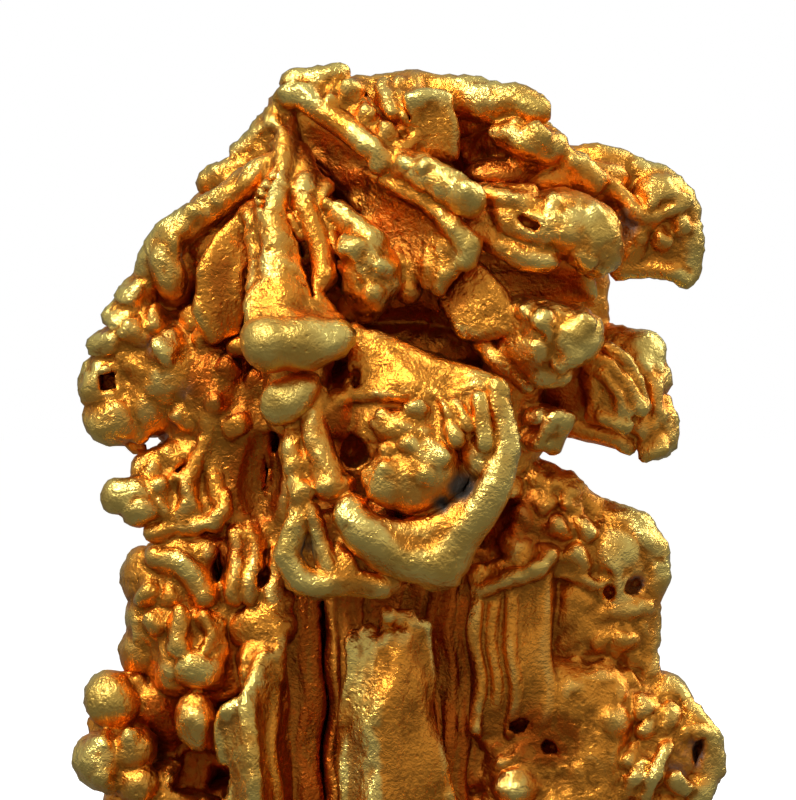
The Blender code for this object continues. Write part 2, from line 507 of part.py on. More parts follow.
# The left of the body.
LEFT_BODY = [
    knob(-5.04, -1.1, 6.98, 0.64, 0.7, 0.62),
    knob(-4.98, -1.0, 6.2, 0.58, 0.7, 0.7),
    knob(-5.1, -1.0, 5.6, 0.5, 0.6, 0.5),
    block(-4.0, -0.6, 6.3, 1.0, 1.4, 1.7, edge=0.5),
    knob(-4.2, -1.5, 7.1, 0.75, 0.5, 0.65),
    # worn band, ribs and the boss at their foot
    rod((-4.95, -1.5, 7.5, 0.18), (-4.6, -1.65, 7.78, 0.16), (-3.92, -1.75, 7.82, 0.16)),
    rod(
        (-4.9, -1.8, 7.35, 0.24), (-4.46, -1.95, 7.32, 0.25), (-4.14, -2.05, 7.1, 0.24),
        (-3.94, -2.1, 6.7, 0.22),
    ),
    lump(-5.05, -1.65, 6.7, 0.34),
    lump(-4.75, -1.75, 6.15, 0.33),
    lump(-4.6, -1.8, 6.6, 0.3),
    lump(-5.1, -1.5, 5.95, 0.28),
    rod((-3.35, -2.05, 7.9, 0.17), (-3.3, -2.1, 7.3, 0.18), (-3.3, -2.15, 6.7, 0.17)),
    rod((-3.05, -2.05, 7.9, 0.17), (-3.0, -2.15, 7.3, 0.18), (-2.95, -2.2, 6.7, 0.18)),
    rod((-2.5, -2.15, 7.5, 0.17), (-2.5, -2.2, 6.6, 0.2)),
    knob(-2.72, -2.05, 6.05, 0.62, 0.4, 0.5),
    rod((-2.6, -2.2, 6.3, 0.22), (-2.3, -2.1, 6.5, 0.2)),
    plate(
        (-3.9, -1.6, 8.0, 0.2), (-2.3, -1.8, 7.9, 0.2), (-2.3, -1.8, 6.4, 0.2), (-3.9, -1.7, 6.2, 0.2),
    ),
    # tongue
    rod((-4.42, -2.05, 6.2, 0.17), (-4.42, -2.15, 5.6, 0.2)),
    rod(
        (-4.1, -2.0, 6.25, 0.17), (-3.76, -2.05, 6.1, 0.17), (-3.64, -2.1, 5.6, 0.17),
        (-3.8, -2.2, 5.25, 0.2),
    ),
    knob(-4.08, -2.05, 5.2, 0.5, 0.4, 0.42),
    knob(-4.05, -1.75, 5.7, 0.5, 0.38, 0.55),
    lump(-4.3, -2.0, 5.9, 0.22),
    # egg lobe and the cluster at the left edge
    knob(-4.1, -2.0, 4.2, 0.36, 0.36, 0.54, tilt=(0, -10, 0)),
    knob(-5.88, -1.4, 4.5, 0.54, 0.6, 0.55),
    knob(-5.92, -1.3, 3.35, 0.62, 0.7, 0.62),
    lump(-5.85, -1.1, 3.95, 0.42),
    knob(-5.35, -1.6, 3.5, 0.42, 0.5, 0.45),
    knob(-5.3, -1.5, 2.9, 0.45, 0.5, 0.45),
    lump(-5.9, -1.8, 3.0, 0.28),
    lump(-6.0, -1.7, 3.6, 0.28),
    lump(-5.5, -1.9, 3.75, 0.24),
    knob(-5.0, -0.9, 4.4, 0.65, 0.7, 0.65),
    rod((-5.85, -1.1, 4.88, 0.2), (-5.3, -1.2, 4.85, 0.24)),
    knob(-4.6, -0.1, 3.4, 0.8, 0.7, 0.9),
]

# The two blades at the front of the body and the fluted wall behind them.
BLADES = [
    # first blade: a crest over a left face and a right face
    plate(
        (-3.1, -2.35, 5.6, 0.13), (-2.5, -2.3, 5.9, 0.14), (-2.5, -2.45, 5.0, 0.13),
        (-3.0, -2.5, 5.1, 0.13),
    ),
    plate(
        (-3.5, -2.45, 4.35, 0.13), (-3.08, -2.95, 4.5, 0.13), (-3.0, -3.05, 1.4, 0.15),
        (-3.4, -2.5, 1.4, 0.14),
    ),
    plate(
        (-3.05, -2.95, 4.6, 0.12), (-2.84, -2.6, 5.45, 0.12), (-2.5, -2.3, 5.4, 0.12),
        (-2.38, -2.0, 3.4, 0.12), (-2.35, -1.95, 1.4, 0.12), (-3.0, -3.05, 1.4, 0.14),
    ),
    rod(
        (-2.82, -2.5, 5.5, 0.15), (-2.95, -2.68, 5.0, 0.16), (-3.1, -2.85, 4.6, 0.15),
        (-3.45, -2.75, 4.38, 0.15),
    ),
    rod((-3.04, -3.0, 4.5, 0.12), (-2.98, -3.08, 3.2, 0.13), (-3.02, -3.08, 1.6, 0.15)),
    rod((-3.5, -2.55, 4.3, 0.14), (-3.4, -2.6, 2.6, 0.17), (-3.3, -2.6, 1.4, 0.2)),
    block(-2.85, -1.5, 3.0, 0.38, 1.1, 2.6, edge=0.1),
    # second blade
    plate(
        (-0.98, -2.55, 5.7, 0.13), (-0.15, -2.95, 5.7, 0.13), (-0.05, -3.05, 5.3, 0.13),
        (-0.55, -3.05, 4.0, 0.13), (-1.0, -2.7, 4.2, 0.13),
    ),
    plate(
        (0.02, -3.0, 5.9, 0.12), (0.42, -2.6, 6.0, 0.12), (0.5, -2.4, 4.35, 0.13),
        (0.95, -2.2, 2.4, 0.14), (0.9, -2.2, 1.3, 0.14), (-0.5, -3.1, 1.6, 0.14),
        (-0.52, -3.08, 3.9, 0.14), (-0.02, -3.08, 5.3, 0.12),
    ),
    plate(
        (-1.08, -2.6, 3.9, 0.13), (-0.58, -3.1, 4.0, 0.13), (-0.5, -3.12, 1.6, 0.15),
        (-1.12, -2.6, 1.6, 0.14),
    ),
    rod(
        (0.2, -2.85, 6.15, 0.12), (0.44, -2.6, 6.0, 0.13), (0.5, -2.48, 4.4, 0.13),
        (0.72, -2.4, 3.4, 0.14), (0.96, -2.3, 2.4, 0.15), (0.9, -2.2, 1.2, 0.2),
    ),
    rod(
        (-0.02, -3.08, 5.6, 0.1), (-0.08, -3.1, 4.8, 0.1), (-0.55, -3.1, 3.98, 0.12),
        (-0.52, -3.14, 3.2, 0.12), (-0.5, -3.12, 1.8, 0.15),
    ),
    rod(
        (-1.0, -2.65, 5.7, 0.11), (-1.0, -2.72, 4.8, 0.11), (-1.05, -2.7, 3.8, 0.14),
        (-1.12, -2.7, 2.0, 0.17),
    ),
    block(-0.2, -1.4, 3.3, 0.55, 1.1, 2.7, edge=0.1),
    lump(-0.23, -2.85, 6.3, 0.16),
    lump(-0.22, -2.9, 5.85, 0.15),
    rod((-0.2, -2.7, 6.3, 0.12), (-0.2, -2.8, 5.8, 0.12)),
    lump(0.1, -2.75, 6.25, 0.17),
    lump(-0.6, -2.65, 5.85, 0.16),
    lump(-0.9, -2.5, 5.8, 0.14),
    # fluted wall behind the blades
    block(-2.06, -0.95, 4.2, 0.44, 0.95, 4.0, edge=0.06),
    rod((-2.3, -1.88, 6.4, 0.06), (-2.3, -1.88, 2.0, 0.07)),
    rod((-1.95, -1.88, 6.5, 0.06), (-1.93, -1.88, 2.0, 0.07)),
    block(-1.1, -0.95, 4.4, 0.34, 0.95, 4.0, edge=0.06),
    rod((-1.3, -1.92, 6.8, 0.05), (-1.3, -1.92, 2.0, 0.06)),
    rod((-1.05, -1.92, 6.8, 0.05), (-1.03, -1.95, 4.0, 0.06)),
    block(-0.4, -0.8, 5.0, 0.4, 0.9, 2.5, edge=0.05),
    block(1.1, -0.65, 4.8, 1.1, 0.95, 2.9, edge=0.1),
    block(0.74, -0.85, 4.7, 0.1, 0.95, 3.6, edge=0.05),
    block(1.0, -0.92, 4.7, 0.1, 0.95, 3.6, edge=0.05),
    block(1.26, -0.85, 4.7, 0.1, 0.95, 3.6, edge=0.05),
    # the framed panel and the broad panel beside it
    block(1.9, -1.02, 5.6, 0.42, 0.95, 1.65, edge=0.05),
    block(1.56, -1.12, 5.6, 0.08, 1.0, 1.7, edge=0.04),
    block(2.27, -1.12, 5.6, 0.08, 1.0, 1.7, edge=0.04),
    block(1.9, -1.1, 5.7, 0.05, 0.95, 1.2, edge=0.03),
    block(2.75, -1.05, 5.6, 0.42, 1.0, 1.6, tilt=(0, 0, -8), edge=0.08),
    rod(
        (1.55, -2.02, 6.8, 0.14), (2.22, -2.15, 7.02, 0.15), (2.76, -2.15, 7.2, 0.16),
        (2.95, -2.05, 7.45, 0.15),
    ),
    rod((1.6, -1.8, 7.0, 0.25), (2.9, -1.75, 7.4, 0.3)),
]

# The right of the body.
RIGHT_BODY = [
    rod(
        (2.5, -1.3, 9.05, 0.3), (3.35, -1.3, 8.82, 0.33), (3.75, -1.2, 8.5, 0.3),
        (4.15, -1.1, 8.36, 0.28),
    ),
    lump(2.75, -1.55, 8.98, 0.22),
    lump(3.1, -1.55, 8.85, 0.22),
    lump(3.5, -1.5, 8.6, 0.24),
    lump(2.4, -1.7, 8.8, 0.24),
    lump(2.9, -1.65, 8.5, 0.25),
    knob(2.8, -0.95, 7.9, 1.2, 0.85, 0.95),
    knob(3.4, -1.0, 7.5, 0.95, 0.75, 0.9),
    lump(2.5, -1.65, 8.2, 0.32),
    lump(3.1, -1.65, 7.95, 0.32),
    lump(2.25, -1.65, 7.65, 0.3),
    lump(3.5, -1.6, 7.4, 0.34),
    lump(2.85, -1.65, 7.4, 0.3),
    lump(3.7, -1.6, 7.95, 0.3),
    # shoulder crest and its mass
    rod(
        (4.05, -1.1, 8.36, 0.28), (4.45, -1.15, 8.22, 0.3), (4.82, -1.2, 7.98, 0.33),
        (5.04, -1.25, 7.58, 0.33), (5.1, -1.2, 7.1, 0.28), (5.0, -1.1, 6.75, 0.27),
    ),
    knob(4.3, -1.05, 7.55, 0.78, 0.7, 0.75),
    knob(4.35, -1.05, 6.9, 0.7, 0.7, 0.6),
    rod((4.05, -1.6, 7.95, 0.18), (4.5, -1.68, 7.7, 0.2), (4.85, -1.55, 7.4, 0.18)),
    lump(4.25, -1.65, 7.35, 0.25),
    lump(4.0, -1.6, 7.6, 0.25),
    lump(4.45, -1.6, 6.75, 0.22),
    rod(
        (3.9, -1.65, 6.3, 0.15), (4.2, -1.68, 6.42, 0.16), (4.6, -1.68, 6.42, 0.15),
        (4.95, -1.45, 6.42, 0.14),
    ),
    knob(4.2, -0.9, 5.9, 0.9, 0.75, 0.9),
    rod((4.95, -1.1, 6.8, 0.27), (4.96, -1.1, 6.0, 0.26), (4.97, -1.1, 5.1, 0.27)),
    lump(4.0, -1.55, 5.85, 0.29),
    lump(4.5, -1.55, 5.75, 0.28),
    lump(4.8, -1.3, 6.05, 0.25),
    lump(4.2, -1.5, 5.2, 0.27),
    lump(4.8, -1.3, 5.4, 0.27),
    lump(3.65, -1.55, 5.4, 0.27),
    lump(3.6, -1.6, 6.5, 0.27),
    lump(4.55, -1.5, 5.1, 0.25),
    knob(3.6, -0.9, 6.2, 0.75, 0.85, 1.3),
    block(3.2, -0.5, 3.5, 1.5, 1.5, 1.9, edge=0.6),
    knob(4.4, -0.95, 4.5, 0.8, 0.75, 0.8),
    knob(4.18, -1.85, 4.18, 0.36, 0.36, 0.38),
    lump(3.2, -1.8, 4.75, 0.3),
    lump(3.5, -1.85, 3.95, 0.3),
    lump(2.3, -1.95, 3.45, 0.3),
    lump(3.5, -1.9, 3.1, 0.32),
    lump(2.35, -2.05, 2.85, 0.38),
    lump(1.9, -1.85, 3.8, 0.28),
    lump(4.05, -1.8, 3.3, 0.3),
    lump(2.8, -1.85, 4.5, 0.25),
    lump(2.8, -1.95, 2.9, 0.28),
    lump(2.0, -1.8, 4.4, 0.24),
    # the crowned cluster at the right edge
    knob(5.3, -0.9, 4.45, 0.6, 0.6, 0.55),
    knob(5.55, -0.85, 3.5, 0.72, 0.75, 0.95),
    rod((4.0, -0.6, 3.6, 0.8), (5.2, -0.6, 3.6, 0.75)),
    knob(5.25, -1.2, 3.6, 0.7, 0.6, 0.85),
    rod(
        (5.55, -1.2, 4.66, 0.2), (5.85, -1.35, 4.15, 0.2), (6.24, -1.3, 3.72, 0.23),
        (6.32, -1.2, 3.15, 0.26), (6.05, -1.3, 2.65, 0.26),
    ),
    knob(5.35, -1.6, 4.1, 0.24, 0.24, 0.36),
    lump(5.0, -1.6, 4.05, 0.27),
    lump(4.8, -1.6, 4.5, 0.25),
    rod((4.72, -1.8, 2.82, 0.18), (5.1, -1.82, 3.15, 0.17), (5.45, -1.75, 3.5, 0.17)),
    rod((5.05, -1.8, 2.8, 0.16), (5.4, -1.78, 3.2, 0.16), (5.5, -1.7, 3.6, 0.14)),
    lump(5.65, -1.6, 2.9, 0.26),
    lump(4.75, -1.7, 3.45, 0.26),
    lump(5.7, -1.5, 3.9, 0.22),
    lump(6.0, -1.5, 3.9, 0.2),
]

# The lower end of the body.
LOWER = [
    rod((-4.6, -0.9, 2.6, 0.8), (-3.9, -0.6, 1.2, 0.8)),
    rod((4.7, -0.6, 2.6, 0.8), (3.9, -0.4, 1.2, 0.8)),
    knob(-5.3, -0.9, 2.4, 0.6, 0.6, 0.6),
    knob(5.4, -0.8, 2.4, 0.62, 0.6, 0.6),
    lump(-4.6, -1.6, 1.9, 0.5),
    lump(-3.9, -2.0, 1.3, 0.45),
    lump(-4.7, -1.2, 1.0, 0.5),
    lump(-2.2, -2.3, 1.0, 0.5),
    lump(-1.4, -2.4, 1.5, 0.4),
    lump(0.3, -2.4, 0.9, 0.5),
    lump(1.6, -2.1, 1.6, 0.5),
    lump(1.2, -2.2, 0.8, 0.45),
    lump(2.6, -1.9, 1.9, 0.45),
    lump(3.4, -1.6, 1.4, 0.5),
    lump(2.4, -1.8, 0.8, 0.45),
    lump(4.5, -1.3, 1.8, 0.5),
    lump(4.4, -0.9, 0.9, 0.5),
    rod((-0.9, -2.5, 1.8, 0.35), (-0.8, -1.9, 0.75, 0.55)),
    rod((-3.2, -2.5, 1.8, 0.32), (-2.7, -1.8, 0.8, 0.55)),
]

# What carries the arms and lobes from behind.
FAR_MASS = [
    rod((2.8, 1.0, 15.0, 0.45), (4.2, 0.8, 14.6, 0.45), (5.0, 0.4, 14.3, 0.42)),
    lump(4.6, 0.9, 14.1, 0.4),
    lump(3.9, 1.2, 14.7, 0.35),
    rod((3.0, 1.0, 10.9, 0.45), (4.4, 0.5, 10.9, 0.42), (4.8, 0.1, 10.8, 0.4)),
    lump(4.2, 0.9, 11.1, 0.35),
    lump(-1.9, -0.5, 16.3, 0.42),
    lump(4.4, -0.6, 15.1, 0.38),
    lump(3.2, -0.8, 12.7, 0.5),
    lump(4.7, -0.6, 6.9, 0.55),
    lump(-3.9, -1.0, 14.2, 0.45),
    rod((-4.6, -0.8, 8.2, 0.35), (-3.4, -0.6, 8.3, 0.5)),
    knob(-4.9, -0.4, 4.3, 0.75, 0.8, 0.8),
    lump(-1.3, 0.2, 16.35, 0.48),
    lump(-0.2, -0.2, 16.45, 0.45),
    lump(0.5, 0.5, 16.35, 0.5),
    lump(1.5, -0.2, 16.2, 0.45),
    rod((-0.6, 0.6, 16.2, 0.3), (-0.1, 1.4, 16.5, 0.33)),
    lump(-0.7, 0.9, 16.45, 0.3),
    rod((0.9, 0.8, 16.0, 0.3), (1.7, 1.5, 16.0, 0.34)),
    rod((-1.4, 0.6, 15.8, 0.32), (-2.0, 1.3, 16.0, 0.32)),
    rod((-1.7, 0.2, 16.2, 0.2), (-0.6, 1.0, 16.6, 0.17), (0.6, 1.2, 16.5, 0.19)),
    lump(-5.3, 0.2, 11.2, 0.5),
    lump(-5.4, 0.1, 10.4, 0.45),
    lump(-5.5, -0.1, 4.2, 0.55),
    lump(-5.6, 0.0, 3.3, 0.55),
    lump(5.5, 0.2, 3.9, 0.55),
    lump(5.6, 0.1, 3.0, 0.55),
]

# Pits, slots and grooves.
HOLLOWS = [
    # under the summit's face, in its roof and beside the long bar
    plate(
        (-1.78, -2.2, 15.4, 0.05), (-1.25, -2.3, 14.82, 0.15), (-0.74, -2.5, 14.3, 0.07),
        (-0.74, -0.9, 14.3, 0.07), (-1.25, -0.6, 14.82, 0.15), (-1.78, -0.6, 15.4, 0.05),
    ),
    rod((-0.92, -1.9, 16.8, 0.06), (-0.62, -2.0, 16.5, 0.12), (-0.4, -2.2, 16.25, 0.1)),
    rod((0.12, -1.95, 16.75, 0.08), (0.2, -2.1, 16.35, 0.09)),
    lump(0.0, -2.3, 15.95, 0.16),
    # the finger of the fist, the right arm
    knob(2.6, -2.95, 14.22, 0.28, 0.4, 0.16, tilt=(0, 20, 0)),
    rod((4.25, -1.7, 15.2, 0.09), (4.75, -1.7, 15.0, 0.14)),
    rod((4.55, -1.75, 14.2, 0.1), (5.0, -1.8, 14.08, 0.12), (5.35, -1.8, 14.1, 0.07)),
    rod((4.8, -1.8, 13.64, 0.07), (5.3, -1.8, 13.6, 0.08)),
    lump(5.85, -1.5, 14.02, 0.08),
    lump(5.6, -1.6, 13.75, 0.1),
    rod((2.9, -2.3, 13.1, 0.08), (3.4, -2.3, 13.0, 0.1)),
    rod((4.05, -2.4, 11.9, 0.05), (4.0, -2.3, 11.45, 0.07)),
    knob(3.25, -2.0, 10.85, 0.2, 0.5, 0.2),
    rod((5.15, -1.6, 11.3, 0.07), (5.28, -1.6, 10.95, 0.08)),
    # in and round the curl
    knob(-0.95, -3.6, 11.05, 0.15, 0.8, 0.28),
    knob(-0.98, -3.9, 9.65, 0.36, 1.2, 0.44),
    rod((-1.36, -4.15, 8.42, 0.1), (-1.28, -4.15, 8.05, 0.12), (-1.08, -4.1, 7.55, 0.1)),
    rod(
        (1.24, -4.35, 9.6, 0.09), (1.3, -4.4, 9.3, 0.12), (1.3, -4.4, 8.85, 0.19),
        (0.9, -4.4, 8.55, 0.16), (0.45, -4.4, 8.3, 0.14), (0.0, -4.35, 8.2, 0.16),
        (-0.38, -4.3, 8.24, 0.12),
    ),
    rod(
        (1.3, -4.1, 9.2, 0.1), (1.28, -4.1, 8.85, 0.17), (0.9, -4.1, 8.55, 0.14),
        (0.45, -4.1, 8.32, 0.12), (0.0, -4.05, 8.22, 0.14), (-0.36, -4.05, 8.26, 0.1),
    ),
    rod((1.38, -4.25, 10.5, 0.06), (1.46, -4.25, 9.9, 0.08)),
    rod((1.84, -4.25, 10.4, 0.06), (1.82, -4.25, 9.7, 0.07)),
    lump(0.5, -4.3, 9.62, 0.07),
    rod((-1.96, -4.1, 8.1, 0.09), (-1.84, -4.1, 7.72, 0.16), (-1.66, -4.1, 7.36, 0.1)),
    rod((-1.36, -4.1, 8.1, 0.07), (-1.2, -4.1, 7.5, 0.08)),
    # between the ribs
    rod((-2.28, -2.5, 14.35, 0.1), (-2.12, -2.9, 13.6, 0.12), (-1.9, -3.1, 12.85, 0.1)),
    rod((-2.2, -2.1, 14.3, 0.1), (-2.05, -2.6, 13.4, 0.12)),
    rod((-1.25, -2.9, 13.6, 0.1), (-1.15, -3.0, 12.9, 0.13)),
    rod((-4.38, -2.0, 13.85, 0.08), (-4.32, -1.9, 12.9, 0.14), (-4.2, -1.9, 12.3, 0.14)),
    rod((-2.98, -2.3, 14.3, 0.06), (-3.1, -2.4, 13.2, 0.1), (-3.15, -2.45, 12.1, 0.16)),
    rod((-2.5, -2.0, 15.5, 0.07), (-2.75, -2.1, 14.6, 0.09)),
    # left cluster and fork
    block(-5.86, -1.75, 10.82, 0.2, 0.3, 0.2, edge=0.08),
    lump(-5.05, -1.9, 11.62, 0.19),
    lump(-4.4, -2.15, 10.7, 0.12),
    lump(-3.3, -2.5, 10.75, 0.12),
    lump(-4.85, -2.0, 12.35, 0.1),
    rod((-4.3, -2.0, 9.55, 0.07), (-4.42, -2.0, 9.0, 0.08)),
    rod((-2.45, -2.5, 9.95, 0.14), (-2.45, -2.5, 9.4, 0.13)),
    # left body
    knob(-3.72, -2.2, 7.3, 0.14, 0.5, 0.4),
    knob(-2.72, -2.3, 7.08, 0.14, 0.4, 0.22),
    lump(-2.73, -2.5, 6.12, 0.08),
    lump(-3.86, -2.35, 5.45, 0.1),
    rod((-4.7, -2.1, 6.25, 0.05), (-4.65, -2.1, 5.7, 0.07)),
    knob(-4.05, -1.8, 3.05, 0.5, 1.1, 0.5),
    # slot in the wall, pits of the right body
    block(-1.5, -1.9, 3.4, 0.055, 0.75, 3.5, edge=0.03),
    knob(2.25, -2.2, 7.3, 0.4, 0.25, 0.13),
    knob(2.0, -2.2, 5.3, 0.14, 0.25, 0.12),
    rod((3.05, -2.15, 5.9, 0.03), (2.9, -2.15, 5.2, 0.04), (2.85, -2.15, 4.6, 0.05)),
    knob(4.72, -1.7, 6.82, 0.23, 0.35, 0.25),
    rod((4.3, -1.9, 7.0, 0.05), (4.2, -1.9, 6.7, 0.07)),
    knob(2.5, -2.1, 4.08, 0.38, 0.5, 0.18),
    knob(3.12, -2.1, 3.55, 0.32, 0.5, 0.2),
    lump(3.75, -2.1, 4.5, 0.13),
    lump(3.9, -2.15, 2.75, 0.2),
    knob(1.6, -2.0, 2.8, 0.27, 0.6, 0.22),
    knob(6.06, -1.7, 3.6, 0.15, 0.4, 0.25),
    lump(4.6, -2.0, 3.9, 0.12),
    # the gap between the left cluster and the fork under it
    rod((-5.04, -2.6, 9.78, 0.19), (-5.1, 0.0, 9.76, 0.22), (-5.35, 2.6, 9.8, 0.26)),
]


def depth_at(height, depth):
    """A depth, less near the summit."""
    return depth * SUMMIT_DEPTH if height > SUMMIT_LEVEL else depth


def bulk():
    """One wide knob to a level, which the forms grow from."""
    knobs = []
    for z, left, right in LEVELS:
        half_width = (right - left) / 2 - BULK_INSET
        half_depth = depth_at(z, BULK_DEPTH)
        knobs.append(knob((left + right) / 2, MIDDLE_DEPTH, z, half_width, half_depth, BULK_HALF_HEIGHT))
    return knobs


def growth(chance, x, y, z, radius, out_x, out_y):
    """One finger, lump or ridge that grows outwards at a place on the far side."""
    kind = chance.random()
    if kind < 0.4:
        return rod((x - 0.9 * out_x, y - 0.9 * out_y, z - 0.25, radius * 0.8), (x, y, z + 0.2, radius))
    if kind < 0.62:
        return lump(x - 0.2 * out_x, y - 0.2 * out_y, z, radius * 1.25)
    lean = chance.uniform(-0.5, 0.5)
    thin_radius = radius * 0.55
    return rod(
        (x - 0.25 * out_x, y - 0.25 * out_y, z + 0.75, thin_radius),
        (x + 0.5 * lean * out_y, y - 0.5 * lean * out_x, z, thin_radius * 1.3),
        (x + lean * out_y - 0.2 * out_x, y - lean * out_x - 0.2 * out_y, z - 0.75, thin_radius),
    )


def growths():
    """Rows of growths round the far side, one row to a level."""
    chance = random.Random(GROWTH_SEED)
    forms = []
    for level, left, right in LEVELS:
        half = (right - left) / 2
        number = round(half * GROWTHS_PER_MILLIMETRE)
        for step in range(number + 1):
            share = min(max((step + chance.uniform(-0.3, 0.3)) / number, 0.0), 1.0)
            radius = chance.uniform(*GROWTH_RADII)
            out_x = math.cos(math.pi * share)
            out_y = math.sin(math.pi * share)
            x = (left + right) / 2 + (half - radius) * out_x
            y = MIDDLE_DEPTH + (depth_at(level, FAR_DEPTH) - radius) * out_y
            z = level + chance.uniform(-GROWTH_SCATTER, GROWTH_SCATTER)
            forms.append(growth(chance, x, y, z, radius, out_x, out_y))
    return forms


def far_side():
    """Forms like the front's, turned half round, among rows of growths."""
    ribs = [turned(form) for form in FRONT_HEAD + ROOTS[3:9]]
    blades = [turned(form, rise=0.2) for form in BLADES]
    return ribs + blades + growths()


def solids():
    """Every form that adds to the nugget."""
    front = SUMMIT + RIGHT_HEAD + FRONT_HEAD + CURL + LEFT_HEAD + LEFT_BODY + BLADES + RIGHT_BODY
    return bulk() + FOOT + ROOTS + front + LOWER + far_side() + FAR_MASS


# ---------------------------------------------------------------- shapes from forms
def add_shell(target, shell):
    """Add one closed shell to the mesh that gathers them all."""
    piece = bpy.data.meshes.new("form")
    shell.to_mesh(piece)
    target.from_mesh(piece)
    bpy.data.meshes.remove(piece)
    shell.free()


def ball_directions():
    """Directions to the corners of a unit icosphere."""
    ball = bmesh.new()
    bmesh.ops.create_icosphere(ball, subdivisions=2, radius=1.0)
    directions = [corner.co.copy() for corner in ball.verts]
    ball.free()
    return directions


def add_hull(target, balls, directions):
    """Wrap a convex hull round balls given as (x, y, z, radius)."""
    shell = bmesh.new()
    for x, y, z, radius in balls:
        for direction in directions:
            shell.verts.new(Vector((x, y, z)) + radius * direction)
    hull = bmesh.ops.convex_hull(shell, input=shell.verts)
    inside = hull["geom_interior"] + hull["geom_unused"]
    spare = {item for item in inside if isinstance(item, bmesh.types.BMVert)}
    bmesh.ops.delete(shell, geom=list(spare), context="VERTS")
    add_shell(target, shell)


def add_knob(target, centre, half_sizes, tilt):
    """An ellipsoid from a sphere primitive, finer where it is large."""
    shell = bmesh.new()
    turn = Euler([math.radians(angle) for angle in tilt])
    place = Matrix.LocRotScale(Vector(centre), turn, Vector(half_sizes))
    fineness = 4 if max(half_sizes) > LARGE_KNOB else 3
    bmesh.ops.create_icosphere(shell, subdivisions=fineness, radius=1.0, matrix=place)
    add_shell(target, shell)


def add_block(target, centre, half_sizes, tilt, edge):
    """A box primitive with its edges bevelled round."""
    shell = bmesh.new()
    bmesh.ops.create_cube(shell, size=2.0, matrix=Matrix.Diagonal(Vector(half_sizes)).to_4x4())
    bmesh.ops.bevel(
        shell, geom=list(shell.edges), offset=edge, segments=BLOCK_EDGE_STEPS, affect="EDGES", profile=0.5
    )
    turn = Euler([math.radians(angle) for angle in tilt]).to_matrix().to_4x4()
    bmesh.ops.transform(shell, matrix=Matrix.Translation(centre) @ turn, verts=shell.verts)
    add_shell(target, shell)


def add_form(target, form, directions):
    """Add the shells of one form."""
    kind = form[0]
    if kind == "rod":
        for start, end in zip(form[1], form[1][1:]):
            add_hull(target, (start, end), directions)
    elif kind == "plate":
        corners = form[1]
        for second, third in zip(corners[1:], corners[2:]):
            add_hull(target, (corners[0], second, third), directions)
    elif kind == "knob":
        add_knob(target, form[1], form[2], form[3])
    else:
        add_block(target, form[1], form[2], form[3], form[4])


def form_object(name, forms, collection):
    """One object that holds the overlapping shells of all the forms."""
    gathered = bmesh.new()
    directions = ball_directions()
    for form in forms:
        add_form(gathered, form, directions)
    mesh = bpy.data.meshes.new(name)
    gathered.to_mesh(mesh)
    gathered.free()
    made = bpy.data.objects.new(name, mesh)
    collection.objects.link(made)
    return made


# ---------------------------------------------------------------- working on the nugget's mesh
def settle_modifiers(thing):
    """Turn what the modifiers make into the object's own mesh."""
    bpy.context.view_layer.update()
    evaluated = thing.evaluated_get(bpy.context.evaluated_depsgraph_get())
    made = bpy.data.meshes.new_from_object(evaluated)
    thing.modifiers.clear()
    before = thing.data
    thing.data = made
    bpy.data.meshes.remove(before)


def fuse(thing, voxel, smooth_passes):
    """Fuse overlapping shells into one skin and soften the joints between them."""
    remesh = thing.modifiers.new("fuse", "REMESH")
    remesh.mode = "VOXEL"
    remesh.voxel_size = voxel
    if smooth_passes:
        soften = thing.modifiers.new("soften", "SMOOTH")
        soften.factor = 0.5
        soften.iterations = smooth_passes
    settle_modifiers(thing)


def thin(thing, triangles):
    """Collapse edges until about this many triangles are left."""
    present = sum(len(face.vertices) - 2 for face in thing.data.polygons)
    decimate = thing.modifiers.new("thin", "DECIMATE")
    decimate.ratio = min(1.0, triangles / present)
    decimate.use_collapse_triangulate = True
    settle_modifiers(thing)


def cut_pits(thing, pits):
    """Take the pits, slots and grooves out of the nugget."""
    cut = thing.modifiers.new("pits", "BOOLEAN")
    cut.operation = "DIFFERENCE"
    cut.solver = "EXACT"
    cut.object = pits
    settle_modifiers(thing)


def keep_largest_body(thing):
    """Drop the small loose shells that fusing can leave inside."""
    skin = bmesh.new()
    skin.from_mesh(thing.data)
    unseen = set(skin.faces)
    bodies = []
    while unseen:
        front = [unseen.pop()]
        body = []
        while front:
            face = front.pop()
            body.append(face)
            for edge in face.edges:
                for neighbour in edge.link_faces:
                    if neighbour in unseen:
                        unseen.remove(neighbour)
                        front.append(neighbour)
        bodies.append(body)
    bodies.sort(key=len)
    spare = [face for body in bodies[:-1] for face in body]
    bmesh.ops.delete(skin, geom=spare, context="FACES")
    skin.to_mesh(thing.data)
    skin.free()


def wander(point):
    """The small shift that keeps edges and faces from being ruled."""
    x, y, z = point
    long_shift = Vector((
        math.sin(1.9 * y + 2.3 * z + 0.6),
        math.sin(2.1 * z + 1.7 * x + 2.0),
        math.sin(2.2 * x + 1.8 * y + 4.0),
    ))
    short_shift = Vector((
        math.sin(4.1 * z - 2.2 * y + 1.1 * x),
        math.sin(3.7 * x - 3.1 * z),
        math.sin(4.3 * x + 2.6 * y - 1.3 * z),
    ))
    return LONG_WANDER * long_shift + SHORT_WANDER * short_shift


def bend(thing):
    """Move every corner of the mesh outwards a little and by its wander."""
    outward = [corner.normal.copy() for corner in thing.data.vertices]
    for corner, normal in zip(thing.data.vertices, outward):
        corner.co += FILL_OUT * normal + wander(corner.co)


